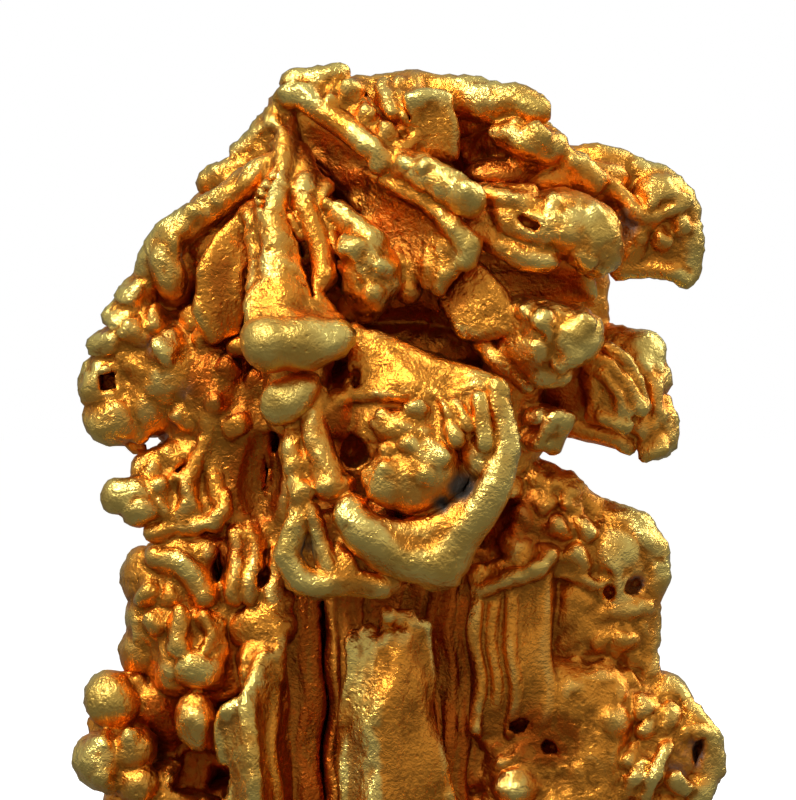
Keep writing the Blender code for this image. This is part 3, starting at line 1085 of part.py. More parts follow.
def cut_foot(thing):
    """Cut the lower end off flat and close it, so that the nugget can stand."""
    skin = bmesh.new()
    skin.from_mesh(thing.data)
    for corner in skin.verts:
        if abs(corner.co.z - FOOT_LEVEL) < FOOT_SNAP:
            corner.co.z = FOOT_LEVEL
    everything = list(skin.verts) + list(skin.edges) + list(skin.faces)
    bmesh.ops.bisect_plane(
        skin, geom=everything, dist=FOOT_SNAP * 0.01, plane_co=(0.0, 0.0, FOOT_LEVEL),
        plane_no=(0.0, 0.0, 1.0), clear_inner=True,
    )
    rim = [edge for edge in skin.edges if edge.is_boundary]
    sole = bmesh.ops.holes_fill(skin, edges=rim, sides=0)["faces"]
    bmesh.ops.triangulate(skin, faces=sole)
    bmesh.ops.recalc_face_normals(skin, faces=skin.faces)
    skin.to_mesh(thing.data)
    skin.free()


def stand_at_origin(thing):
    """Scale to real size, with the middle of the nugget's box over the origin and its foot at z = 0."""
    xs = [corner.co.x for corner in thing.data.vertices]
    ys = [corner.co.y for corner in thing.data.vertices]
    middle = Vector(((min(xs) + max(xs)) / 2, (min(ys) + max(ys)) / 2, FOOT_LEVEL))
    thing.data.transform(Matrix.Diagonal((SCALE, SCALE, SCALE, 1.0)) @ Matrix.Translation(-middle))
    thing.data.update()


def gold():
    """Native gold, a little worn."""
    material = bpy.data.materials.new("gold")
    material.use_nodes = True
    shader = material.node_tree.nodes["Principled BSDF"]
    shader.inputs["Base Color"].default_value = GOLD_COLOUR
    shader.inputs["Roughness"].default_value = GOLD_ROUGHNESS
    shader.inputs["Metallic"].default_value = 1.0
    material.diffuse_color = GOLD_COLOUR
    return material


def new_collection(name):
    """A collection linked to the scene."""
    collection = bpy.data.collections.new(name)
    bpy.context.scene.collection.children.link(collection)
    return collection


def clear_scene():
    """Remove whatever the open file holds."""
    for thing in list(bpy.data.objects):
        bpy.data.objects.remove(thing, do_unlink=True)


def make_nugget():
    """Fuse the forms, pit them and finish the solid."""
    cutters = new_collection("Cutters")
    pits = form_object("pits", HOLLOWS, cutters)
    fuse(pits, PIT_VOXEL, 0)
    pits.hide_render = True
    pits.display_type = "WIRE"

    nugget = form_object("nugget", solids(), new_collection("Gold nugget"))
    fuse(nugget, FUSE_VOXEL, SMOOTH_PASSES)
    keep_largest_body(nugget)
    thin(nugget, PITTED_TRIANGLES)
    cut_pits(nugget, pits)
    fuse(nugget, FUSE_VOXEL, 1)
    keep_largest_body(nugget)
    bend(nugget)
    thin(nugget, FINAL_TRIANGLES)
    cut_foot(nugget)
    keep_largest_body(nugget)
    stand_at_origin(nugget)
    nugget.data.materials.clear()
    nugget.data.materials.append(gold())
    nugget.data.shade_smooth()
    nugget.data.set_sharp_from_angle(angle=math.radians(SHARP_ANGLE))
    return nugget


clear_scene()
make_nugget()
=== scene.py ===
import math
import random

import bmesh
import bpy
import numpy as np
from mathutils import Euler, Matrix, Vector
from mathutils.bvhtree import BVHTree


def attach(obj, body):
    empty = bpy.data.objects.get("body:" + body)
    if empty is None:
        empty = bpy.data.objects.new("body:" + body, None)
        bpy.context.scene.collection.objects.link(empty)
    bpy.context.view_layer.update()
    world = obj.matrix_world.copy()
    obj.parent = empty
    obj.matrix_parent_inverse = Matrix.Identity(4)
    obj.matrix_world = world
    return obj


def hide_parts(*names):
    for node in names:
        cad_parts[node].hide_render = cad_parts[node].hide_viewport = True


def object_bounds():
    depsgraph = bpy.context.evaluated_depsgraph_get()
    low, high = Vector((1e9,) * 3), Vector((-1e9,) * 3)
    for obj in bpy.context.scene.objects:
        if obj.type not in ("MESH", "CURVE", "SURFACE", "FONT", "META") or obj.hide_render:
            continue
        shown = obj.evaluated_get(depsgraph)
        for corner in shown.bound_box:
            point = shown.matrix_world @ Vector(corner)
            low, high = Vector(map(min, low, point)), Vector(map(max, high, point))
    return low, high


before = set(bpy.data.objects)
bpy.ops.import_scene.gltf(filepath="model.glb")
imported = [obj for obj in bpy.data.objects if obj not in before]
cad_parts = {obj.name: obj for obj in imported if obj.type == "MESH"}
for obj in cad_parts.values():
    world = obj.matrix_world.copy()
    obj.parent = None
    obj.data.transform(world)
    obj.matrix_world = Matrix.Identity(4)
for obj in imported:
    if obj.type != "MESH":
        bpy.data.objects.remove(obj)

SOLID_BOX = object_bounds()

# Fineness of the skin, in drawn millimetres and triangles.
FUSE_VOXEL = 0.06
PIT_VOXEL = 0.06
SKIN_VOXEL = 0.05
SKIN_TRIANGLES = 192000
# How far the fused skin is moved outwards, to make up for what the softening takes away.
FILL_OUT = 0.05
FOOT_LEVEL = 0.0

# Smallest half size of a knob that gets a finer sphere, and the steps round a block's edge.
LARGE_KNOB = 1.0
BLOCK_EDGE_STEPS = 3
# Corners this near the foot's level are drawn onto it, in drawn millimetres.
FOOT_SNAP = 0.03

# Depth of the nugget's middle, and how far its bulk and its far side reach from there, in drawn millimetres.
MIDDLE_DEPTH = 0.6
BULK_DEPTH = 2.0
FAR_DEPTH = 2.75
# Above this height the nugget is this much shallower.
SUMMIT_LEVEL = 14.5
SUMMIT_DEPTH = 0.65
# Half the height of a bulk knob, and how far it stays inside the limits.
BULK_HALF_HEIGHT = 0.95
BULK_INSET = 0.45
# The far side's growths: how many to a millimetre of half width, how thick, how far off their level.
GROWTHS_PER_MILLIMETRE = 2.3
GROWTH_RADII = (0.26, 0.46)
GROWTH_SCATTER = 0.45
GROWTH_SEED = 7
# Share of the growths that are fingers, and share that are fingers or lumps; the rest are ridges.
FINGER_SHARE = 0.4
FINGER_OR_LUMP_SHARE = 0.62
# How deep a form turned onto the far side lies, and how much it is flattened.
TURNED_DEPTH = 0.9
TURNED_SHARE = 0.8

# How far and how often the forms wander, in drawn millimetres and radians per millimetre.
LONG_WANDER = 0.05
SHORT_WANDER = 0.03


# ---------------------------------------------------------------- kinds of form
def rod(*points):
    """A chain of round bars through (x, y, z, radius) points."""
    return ("rod", points)


def plate(*points):
    """A sheet with rounded edges over (x, y, z, half thickness) corners."""
    return ("plate", points)


def slit(*points):
    """A sheet that runs straight back from (x, z, half thickness, front, back) points."""
    fronts = [(x, front, z, radius) for x, z, radius, front, back in points]
    backs = [(x, back, z, radius) for x, z, radius, front, back in reversed(points)]
    return plate(*fronts, *backs)


def knob(x, y, z, half_x, half_y, half_z, tilt=(0, 0, 0)):
    """An ellipsoid with its half sizes and its tilt in degrees."""
    return ("knob", (x, y, z), (half_x, half_y, half_z), tilt)


def lump(x, y, z, radius):
    """An uneven angular lump, whose stretch and tilt follow from where it is."""
    wide = 1.0 + 0.28 * math.sin(7.0 * x + 3.0 * z)
    tall = 1.0 + 0.25 * math.sin(5.0 * z - 4.0 * x + 2.0 * y)
    deep = 1.55 - 0.3 * wide - 0.25 * tall
    tilt = (
        40.0 * math.sin(3.0 * x + z),
        50.0 * math.sin(4.0 * z + x),
        40.0 * math.sin(2.0 * x - 5.0 * z),
    )
    half = 0.8 * radius
    return block(x, y, z, half * wide, half * deep, half * tall, tilt, 0.35 * radius)


def lumps(*places):
    """A lump at each (x, y, z, radius) place."""
    return [lump(*place) for place in places]


def block(x, y, z, half_x, half_y, half_z, tilt=(0, 0, 0), edge=0.1):
    """A box with its half sizes, its tilt in degrees and its rounded edge."""
    return ("block", (x, y, z), (half_x, half_y, half_z), tilt, edge)


def turned(form, rise=0.0):
    """The same form after half a turn round the upright axis, flattened onto the far side."""
    if form[0] in ("rod", "plate"):
        points = tuple((-x, TURNED_DEPTH - TURNED_SHARE * y, z + rise, radius) for x, y, z, radius in form[1])
        return (form[0], points)
    x, y, z = form[1]
    tilt = form[3]
    centre = (-x, TURNED_DEPTH - TURNED_SHARE * y, z + rise)
    moved = (form[0], centre, form[2], (-tilt[0], -tilt[1], tilt[2]))
    return moved + tuple(form[4:])


# ---------------------------------------------------------------- the nugget's forms

# Height, left limit and right limit of the bulk at that height.
LEVELS = [
    (1.3, -4.3, 4.3), (2.4, -5.0, 5.1), (3.6, -5.2, 5.3), (4.8, -4.6, 4.5), (6.0, -4.8, 4.4),
    (7.2, -4.7, 4.4), (8.3, -4.2, 3.4), (9.4, -4.0, 2.4), (10.5, -4.8, 2.9), (11.6, -4.9, 3.5),
    (12.7, -4.1, 3.4), (13.8, -3.8, 3.5), (14.8, -3.0, 3.2), (15.6, -2.4, 2.2), (15.9, -1.9, 1.6),
]

# The worn lower end that it stands on.
FOOT = [
    knob(0.1, 0.6, 0.9, 2.7, 1.25, 1.15),
    *lumps((-3.1, 0.0, 0.75, 1.0), (3.2, 0.3, 0.8, 1.05), (-1.6, 1.5, 0.8, 0.95), (1.7, -0.7, 0.7, 0.95)),
]

# What carries the forward forms.
ROOTS = [
    rod((2.6, -2.3, 14.2, 0.42), (1.8, 0.3, 14.0, 0.6)), rod((3.5, -2.3, 14.0, 0.4), (2.6, 0.2, 13.9, 0.5)),
    rod((2.9, -2.6, 12.0, 0.42), (1.9, 0.2, 12.0, 0.6)),
    rod((-2.1, -3.1, 11.9, 0.5), (-2.0, 0.0, 11.8, 0.8)),
    rod((-2.3, -3.2, 10.7, 0.33), (-2.1, -0.5, 10.6, 0.6)),
    rod((0.4, -2.45, 15.1, 0.26), (-0.2, -0.5, 15.0, 0.5)),
    rod((0.9, -2.7, 13.6, 0.22), (0.4, -0.5, 13.4, 0.6)),
    rod((-0.6, -2.6, 13.2, 0.4), (-0.6, -0.5, 13.2, 0.7)), knob(-2.3, -1.2, 13.9, 0.85, 0.95, 1.4),
    rod((-3.6, -1.9, 13.0, 0.22), (-3.3, -0.4, 13.0, 0.5)),
    rod((-4.07, -1.8, 4.3, 0.3), (-3.9, -0.3, 4.5, 0.5)), rod((5.1, -1.6, 3.1, 0.3), (5.0, -0.5, 3.2, 0.5)),
    rod((3.0, -2.0, 10.0, 0.22), (2.0, -0.4, 10.2, 0.5)),
    rod((-4.8, -1.6, 8.7, 0.3), (-3.8, -0.2, 8.9, 0.6)),
    rod((-5.3, -1.0, 12.3, 0.35), (-4.2, 0.0, 12.0, 0.6)),
    rod((2.4, -1.8, 15.9, 0.25), (1.5, -0.2, 15.6, 0.5)),
    rod((2.0, -1.3, 16.5, 0.25), (1.0, -0.1, 16.0, 0.5)), rod((0.5, -3.0, 9.5, 0.7), (0.0, 0.0, 9.5, 1.0)),
    rod((4.4, -0.8, 11.0, 0.5), (2.8, 0.3, 11.2, 0.6)),
]

# The summit: crest, roof and the face under its rim.
SUMMIT = [
    rod((-2.12, -1.0, 16.99, 0.26), (-1.72, -1.05, 17.11, 0.23), (-1.3, -1.0, 17.14, 0.17)),
    *lumps((-2.12, -1.15, 16.78, 0.28), (-1.72, -1.2, 16.84, 0.24)),
    # spine down the left of the summit
    plate((-2.25, -0.9, 16.7, 0.19), (-2.25, -1.1, 15.6, 0.22), (-3.12, -0.7, 15.42, 0.22)),
    rod((-2.28, -1.0, 16.62, 0.18), (-2.66, -0.95, 15.98, 0.2), (-3.2, -0.75, 15.5, 0.2)),
    *lumps((-2.5, -1.15, 16.1, 0.2), (-2.5, -1.25, 15.7, 0.24)),
    # roof: its lower rim, the sheet behind it, lumps on the sheet
    rod((-1.95, -1.35, 16.78, 0.19), (-1.3, -1.75, 16.26, 0.21), (-0.78, -2.08, 15.8, 0.22),
        (-0.34, -2.3, 15.42, 0.19)),
    plate((-1.88, -1.2, 16.82, 0.15), (-0.9, -0.95, 16.9, 0.15), (0.5, -0.95, 16.95, 0.18),
        (1.0, -1.4, 16.4, 0.15), (-0.2, -2.15, 15.5, 0.15), (-0.8, -1.85, 15.85, 0.15)),
    block(-1.05, -1.4, 16.65, 0.16, 0.2, 0.32, tilt=(0, 25, 0), edge=0.05),
    block(-0.75, -1.7, 16.25, 0.15, 0.2, 0.3, tilt=(10, 30, 0), edge=0.05),
    block(-0.38, -1.95, 15.9, 0.16, 0.2, 0.28, tilt=(0, 20, 10), edge=0.05),
    block(-1.4, -1.45, 16.6, 0.14, 0.2, 0.2, tilt=(20, 40, 0), edge=0.05),
    rod((-0.3, -1.4, 16.9, 0.15), (-0.2, -1.85, 16.4, 0.16)),
    rod((0.03, -1.4, 16.92, 0.13), (0.12, -1.95, 16.25, 0.13)),
    rod((0.35, -1.35, 16.92, 0.15), (0.4, -1.9, 16.4, 0.14)),
    block(0.62, -1.4, 16.15, 0.46, 0.6, 0.62, tilt=(8, 0, 0), edge=0.05),
    # recessed face under the rim
    plate((-2.2, -0.75, 16.6, 0.14), (-0.35, -1.75, 15.35, 0.14), (-1.3, -1.15, 15.2, 0.14),
        (-2.2, -0.85, 15.6, 0.14)),
]

# The right of the head: long bar, far arm, fist, nose and lower arm.
RIGHT_HEAD = [
    rod((0.2, -1.1, 16.88, 0.24), (1.0, -1.25, 16.82, 0.34), (1.5, -1.4, 16.7, 0.4),
        (2.0, -1.55, 16.52, 0.4), (2.5, -1.7, 16.54, 0.33), (2.86, -1.75, 16.42, 0.25)),
    *lumps((2.3, -1.6, 16.66, 0.22), (1.35, -1.45, 16.94, 0.2)),
    rod((2.0, -1.9, 15.98, 0.24), (2.55, -2.1, 15.84, 0.36), (3.0, -2.05, 15.6, 0.3)),
    *lumps((2.25, -2.05, 16.08, 0.2), (2.75, -2.25, 15.95, 0.24)), knob(2.7, -1.7, 15.6, 0.55, 0.45, 0.5),
    plate((1.35, -0.5, 16.4, 0.14), (2.9, -1.3, 15.95, 0.16), (3.0, -1.7, 15.0, 0.15),
        (1.5, -1.1, 15.0, 0.15)),
    knob(2.1, -1.5, 15.15, 0.75, 0.5, 0.35),
    rod((3.0, -1.7, 15.0, 0.3), (3.5, -1.8, 15.2, 0.32), (3.9, -1.75, 15.0, 0.26)),
    lump(3.35, -1.95, 15.3, 0.24),
    # far right arm: back ridge, mass, wavy front ridge, lower rim
    rod((3.4, -0.9, 15.52, 0.22), (4.02, -0.9, 15.54, 0.24), (4.5, -0.9, 15.32, 0.24),
        (5.0, -0.9, 15.02, 0.25), (5.46, -0.95, 14.76, 0.26), (5.8, -1.0, 14.36, 0.26),
        (5.92, -1.0, 13.8, 0.23), (5.9, -1.05, 13.2, 0.17)),
    knob(5.0, -0.85, 14.2, 0.9, 0.6, 0.85), knob(5.25, -0.85, 13.65, 0.62, 0.52, 0.5),
    knob(4.0, -1.1, 15.0, 0.6, 0.5, 0.45), knob(4.75, -1.0, 13.75, 0.4, 0.5, 0.5),
    rod((4.06, -1.5, 14.98, 0.18), (4.5, -1.5, 14.74, 0.16), (4.84, -1.5, 14.4, 0.15),
        (5.2, -1.48, 14.24, 0.16), (5.5, -1.42, 14.36, 0.15), (5.7, -1.3, 14.5, 0.15)),
    knob(5.15, -1.15, 14.75, 0.5, 0.4, 0.32, tilt=(0, 25, 0)),
    *lumps((5.1, -1.5, 14.55, 0.17), (5.45, -1.4, 14.62, 0.16)),
    plate((4.5, -0.95, 14.1, 0.2), (5.75, -1.05, 14.1, 0.2), (5.78, -1.05, 13.2, 0.18),
        (4.55, -0.95, 13.3, 0.18)),
    rod((4.5, -1.2, 13.34, 0.16), (5.12, -1.2, 13.22, 0.16), (5.72, -1.15, 13.1, 0.17)),
    *lumps((5.82, -1.15, 13.02, 0.16), (4.95, -1.4, 13.98, 0.22), (5.35, -1.4, 13.82, 0.22),
        (5.7, -1.25, 14.1, 0.2)),
    rod((3.3, -0.3, 14.6, 0.55), (4.9, -0.5, 14.4, 0.5)),
    # the fist
    plate((1.7, -2.2, 14.75, 0.18), (2.6, -2.4, 14.75, 0.2), (2.9, -2.6, 13.75, 0.2),
        (1.45, -2.5, 13.95, 0.18)),
    rod((2.3, -2.35, 14.22, 0.52), (3.2, -2.45, 14.15, 0.64), (3.78, -2.5, 13.95, 0.66)),
    knob(3.9, -2.35, 13.75, 0.55, 0.6, 0.68),
    *lumps((3.05, -2.8, 14.45, 0.28), (3.85, -2.8, 14.2, 0.32), (3.4, -2.88, 13.95, 0.26),
        (3.7, -2.75, 13.5, 0.32), (4.1, -2.65, 13.75, 0.28), (2.8, -2.65, 13.75, 0.26)),
    rod((1.4, -2.5, 13.92, 0.16), (2.2, -2.7, 13.62, 0.18), (2.9, -2.75, 13.45, 0.2)),
    rod((1.75, -2.45, 14.7, 0.17), (2.2, -2.65, 14.62, 0.2), (2.55, -2.7, 14.6, 0.2)),
    plate((1.5, -1.7, 13.5, 0.2), (3.6, -1.8, 13.3, 0.2), (3.7, -1.5, 12.8, 0.2), (2.2, -1.6, 12.7, 0.2)),
    rod((3.8, -0.4, 13.4, 0.37), (3.82, -0.4, 12.0, 0.35)),
    # facet and nose
    plate((1.48, -2.45, 13.22, 0.12), (0.9, -2.35, 12.56, 0.12), (1.4, -2.55, 11.9, 0.12),
        (2.3, -2.75, 12.2, 0.14), (2.08, -2.65, 12.75, 0.12)),
    rod((2.45, -2.5, 12.3, 0.42), (3.0, -2.7, 12.05, 0.56), (3.48, -2.8, 11.88, 0.6)),
    knob(2.9, -2.6, 11.75, 0.7, 0.55, 0.5),
    *lumps((2.6, -2.95, 12.4, 0.22), (3.0, -3.15, 12.15, 0.3), (3.6, -3.15, 12.0, 0.32),
        (3.3, -3.1, 11.6, 0.3), (2.8, -2.95, 11.7, 0.28)),
    rod((2.35, -2.5, 11.65, 0.28), (2.85, -2.6, 11.25, 0.32), (3.2, -2.5, 11.15, 0.24)),
    rod((1.6, -2.3, 11.9, 0.14), (2.0, -2.5, 11.4, 0.18), (2.5, -2.5, 11.0, 0.2)),
    # lower right arm
    rod((4.15, -0.6, 11.7, 0.38), (4.88, -0.8, 11.46, 0.48), (5.04, -0.9, 11.0, 0.44)),
    knob(4.3, -1.55, 10.9, 0.6, 0.5, 0.72), knob(4.85, -1.0, 10.9, 0.45, 0.4, 0.7),
    rod((3.85, -1.95, 11.45, 0.11), (4.25, -2.02, 11.35, 0.12), (4.62, -1.95, 10.95, 0.13),
        (4.78, -1.85, 10.45, 0.12)),
    rod((4.95, -1.3, 11.35, 0.13), (5.18, -1.3, 10.9, 0.13), (5.15, -1.35, 10.5, 0.13),
        (5.25, -1.3, 10.2, 0.14)),
    knob(5.16, -1.0, 10.0, 0.46, 0.42, 0.66), *lumps((4.9, -1.3, 10.1, 0.26), (5.1, -1.3, 9.65, 0.27)),
    plate((3.3, -1.3, 10.6, 0.18), (4.9, -1.1, 10.6, 0.18), (4.9, -1.05, 9.86, 0.18),
        (4.25, -1.1, 9.86, 0.16), (3.4, -1.1, 10.1, 0.16)),
    rod((3.4, -1.3, 10.12, 0.16), (4.2, -1.3, 9.92, 0.16), (4.6, -1.2, 9.74, 0.15)),
    block(3.0, -2.0, 9.98, 0.3, 0.4, 0.4, tilt=(10, 20, 25), edge=0.12),
    *lumps((2.72, -2.15, 10.3, 0.28), (2.7, -2.0, 9.8, 0.26)),
    rod((2.3, -1.5, 10.9, 0.6), (2.2, -1.3, 9.3, 0.5)), knob(3.4, -0.9, 11.1, 0.8, 0.7, 0.9),
]

# The front of the head: striated slab, ribs and the mushroom knob.
FRONT_HEAD = [
    # striated slab and its rim, and the finger above it
    plate((-1.5, -1.0, 15.22, 0.12), (-0.3, -2.1, 15.15, 0.12), (0.7, -2.65, 14.3, 0.14),
        (1.2, -2.95, 13.4, 0.14), (0.76, -2.75, 12.8, 0.12), (-0.2, -2.1, 13.6, 0.12),
        (-1.15, -1.4, 14.3, 0.12)),
    rod((-0.3, -2.2, 15.1, 0.1), (0.56, -2.7, 14.56, 0.16), (1.04, -2.95, 14.0, 0.2),
        (1.33, -3.05, 13.66, 0.22), (1.32, -3.05, 13.36, 0.17)),
    rod((-0.22, -2.15, 15.5, 0.17), (0.4, -2.5, 15.16, 0.29), (1.0, -2.85, 14.84, 0.35),
        (1.38, -3.0, 14.6, 0.35)),
    *lumps((0.1, -2.6, 15.4, 0.15), (0.55, -2.8, 15.25, 0.18), (1.3, -3.2, 14.72, 0.24)),
    # ribs that fan down from the summit
    rod((-2.98, -2.05, 14.3, 0.12), (-2.98, -2.35, 13.9, 0.16), (-2.92, -2.55, 13.1, 0.15)),
    rod((-2.98, -2.3, 13.8, 0.16), (-2.5, -2.2, 13.6, 0.22)),
    rod((-2.35, -1.3, 15.9, 0.18), (-2.45, -1.9, 14.9, 0.24), (-2.55, -2.35, 14.1, 0.32),
        (-2.5, -2.7, 13.2, 0.36), (-2.3, -3.0, 12.6, 0.42)),
    plate((-2.5, -1.9, 14.6, 0.16), (-3.0, -2.35, 13.9, 0.14), (-2.9, -2.7, 12.9, 0.16),
        (-2.2, -2.85, 13.0, 0.2), (-2.2, -2.3, 14.1, 0.18)),
    plate((-2.85, -3.0, 12.7, 0.14), (-2.3, -2.9, 13.2, 0.2), (-1.55, -3.0, 12.45, 0.16),
        (-1.3, -3.3, 12.05, 0.14), (-2.0, -3.6, 12.1, 0.2), (-2.9, -3.4, 12.15, 0.16)),
    rod((-2.1, -1.3, 15.6, 0.22), (-1.92, -2.0, 14.8, 0.22), (-1.7, -2.5, 13.9, 0.2),
        (-1.56, -2.8, 13.0, 0.2)),
    plate((-1.95, -1.9, 14.9, 0.12), (-1.5, -2.1, 14.5, 0.12), (-1.38, -2.7, 13.2, 0.12),
        (-1.6, -2.85, 12.8, 0.12)),
    rod((-1.75, -1.5, 15.1, 0.2), (-1.5, -1.95, 14.65, 0.22), (-1.05, -2.4, 14.2, 0.25),
        (-0.6, -2.7, 13.75, 0.34)),
    knob(-0.62, -2.75, 13.15, 0.56, 0.5, 0.75),
    *lumps((-0.98, -2.98, 13.55, 0.26), (-0.36, -3.02, 13.3, 0.28), (-0.6, -3.0, 12.75, 0.32),
        (-1.35, -2.25, 14.5, 0.2)),
    knob(-0.75, -2.4, 12.55, 0.45, 0.4, 0.35), rod((-0.05, -2.3, 13.5, 0.16), (0.15, -2.4, 12.8, 0.2)),
    # mushroom knob, the knob under it and what carries them
    knob(-2.06, -3.72, 11.74, 0.85, 0.5, 0.48), knob(-2.67, -3.8, 11.74, 0.55, 0.52, 0.54),
    knob(-1.42, -3.75, 11.77, 0.42, 0.44, 0.38), knob(-2.2, -3.55, 10.68, 0.5, 0.42, 0.44),
    knob(-2.38, -3.5, 10.55, 0.34, 0.38, 0.36), knob(-2.02, -3.5, 10.8, 0.36, 0.4, 0.36),
    rod((-2.1, -2.6, 11.7, 0.7), (-2.1, -2.5, 10.4, 0.6)),
]

# The curled block that stands forward of the neck, with its lip and ring.
CURL = [
    plate((-0.84, -3.0, 12.0, 0.12), (0.3, -3.3, 11.5, 0.14), (1.44, -3.6, 11.0, 0.15),
        (2.0, -3.75, 10.7, 0.16), (0.6, -3.85, 10.75, 0.15), (-1.0, -3.3, 10.7, 0.15)),
    knob(0.8, -3.6, 10.92, 0.6, 0.25, 0.25),
    rod((-0.85, -3.05, 12.0, 0.1), (0.3, -3.4, 11.5, 0.1), (1.4, -3.68, 11.05, 0.12)),
    # the comb at its upper right
    knob(1.3, -3.6, 10.2, 0.75, 0.42, 0.7), knob(0.75, -3.65, 10.25, 0.45, 0.42, 0.6),
    rod((0.94, -4.1, 10.6, 0.09), (1.1, -4.2, 9.85, 0.11)),
    rod((1.16, -4.1, 10.62, 0.08), (1.36, -4.22, 10.1, 0.1)),
    rod((1.66, -4.1, 10.62, 0.11), (1.64, -4.25, 9.7, 0.14)),
    rod((2.04, -3.85, 10.75, 0.18), (2.08, -3.98, 10.3, 0.2), (2.04, -4.02, 9.55, 0.26),
        (1.9, -4.02, 8.9, 0.33), (1.55, -4.0, 8.3, 0.39), (1.12, -3.98, 7.75, 0.44),
        (0.76, -3.92, 7.38, 0.5)),
    rod((0.76, -3.92, 7.38, 0.5), (0.2, -3.92, 7.48, 0.49), (-0.3, -3.92, 7.64, 0.47),
        (-0.7, -3.94, 7.92, 0.42), (-0.95, -3.96, 8.28, 0.34), (-0.98, -3.96, 8.5, 0.2)),
    # what the lip holds
    knob(0.52, -3.95, 9.3, 0.58, 0.42, 0.74), knob(-0.28, -3.98, 8.88, 0.45, 0.4, 0.44),
    knob(0.3, -3.8, 9.95, 0.75, 0.4, 0.4), knob(0.25, -3.9, 8.75, 0.5, 0.4, 0.34),
    *lumps((0.8, -4.15, 9.55, 0.24), (0.2, -4.1, 9.7, 0.24), (0.4, -3.95, 10.38, 0.26),
        (-0.32, -4.22, 9.1, 0.22), (0.5, -4.22, 9.1, 0.26), (-0.2, -4.0, 9.45, 0.22),
        (-0.25, -3.75, 10.1, 0.28)),
    knob(0.9, -3.55, 8.7, 0.9, 0.42, 0.9),
    # strands that hang at its left, and the ring they end in
    rod((-1.68, -3.3, 10.6, 0.22), (-1.68, -3.5, 10.0, 0.26), (-1.6, -3.65, 9.4, 0.3),
        (-1.45, -3.72, 8.95, 0.32), (-1.2, -3.72, 8.8, 0.26)),
    knob(-1.3, -3.2, 10.25, 0.42, 0.38, 0.46), lump(-1.2, -3.35, 10.5, 0.24),
    knob(-1.75, -3.2, 9.6, 0.4, 0.35, 0.9),
    rod((-2.16, -3.3, 10.2, 0.13), (-2.14, -3.45, 9.5, 0.16), (-2.06, -3.58, 8.9, 0.21),
        (-2.02, -3.62, 8.4, 0.23)),
    *lumps((-2.1, -3.55, 9.3, 0.2), (-2.0, -3.68, 8.75, 0.24)),
    rod((-2.1, -3.66, 8.3, 0.2), (-2.2, -3.76, 7.5, 0.24), (-1.98, -3.78, 7.08, 0.27),
        (-1.55, -3.76, 6.92, 0.26), (-0.95, -3.7, 6.9, 0.24), (-0.35, -3.65, 6.88, 0.22),
        (-0.1, -3.6, 7.0, 0.18)),
    rod((-1.8, -3.7, 8.4, 0.15), (-1.56, -3.74, 7.8, 0.14), (-1.4, -3.76, 7.2, 0.17)),
    rod((-1.22, -3.6, 7.5, 0.13), (-1.0, -3.7, 7.1, 0.2)),
    plate((-2.1, -3.3, 8.2, 0.15), (-2.1, -3.3, 7.0, 0.15), (-0.2, -3.3, 6.95, 0.15),
        (-0.8, -3.3, 8.2, 0.15)),
    knob(0.0, -2.3, 9.7, 1.8, 1.3, 1.9), knob(-0.5, -2.5, 7.9, 1.5, 1.0, 0.95),
]

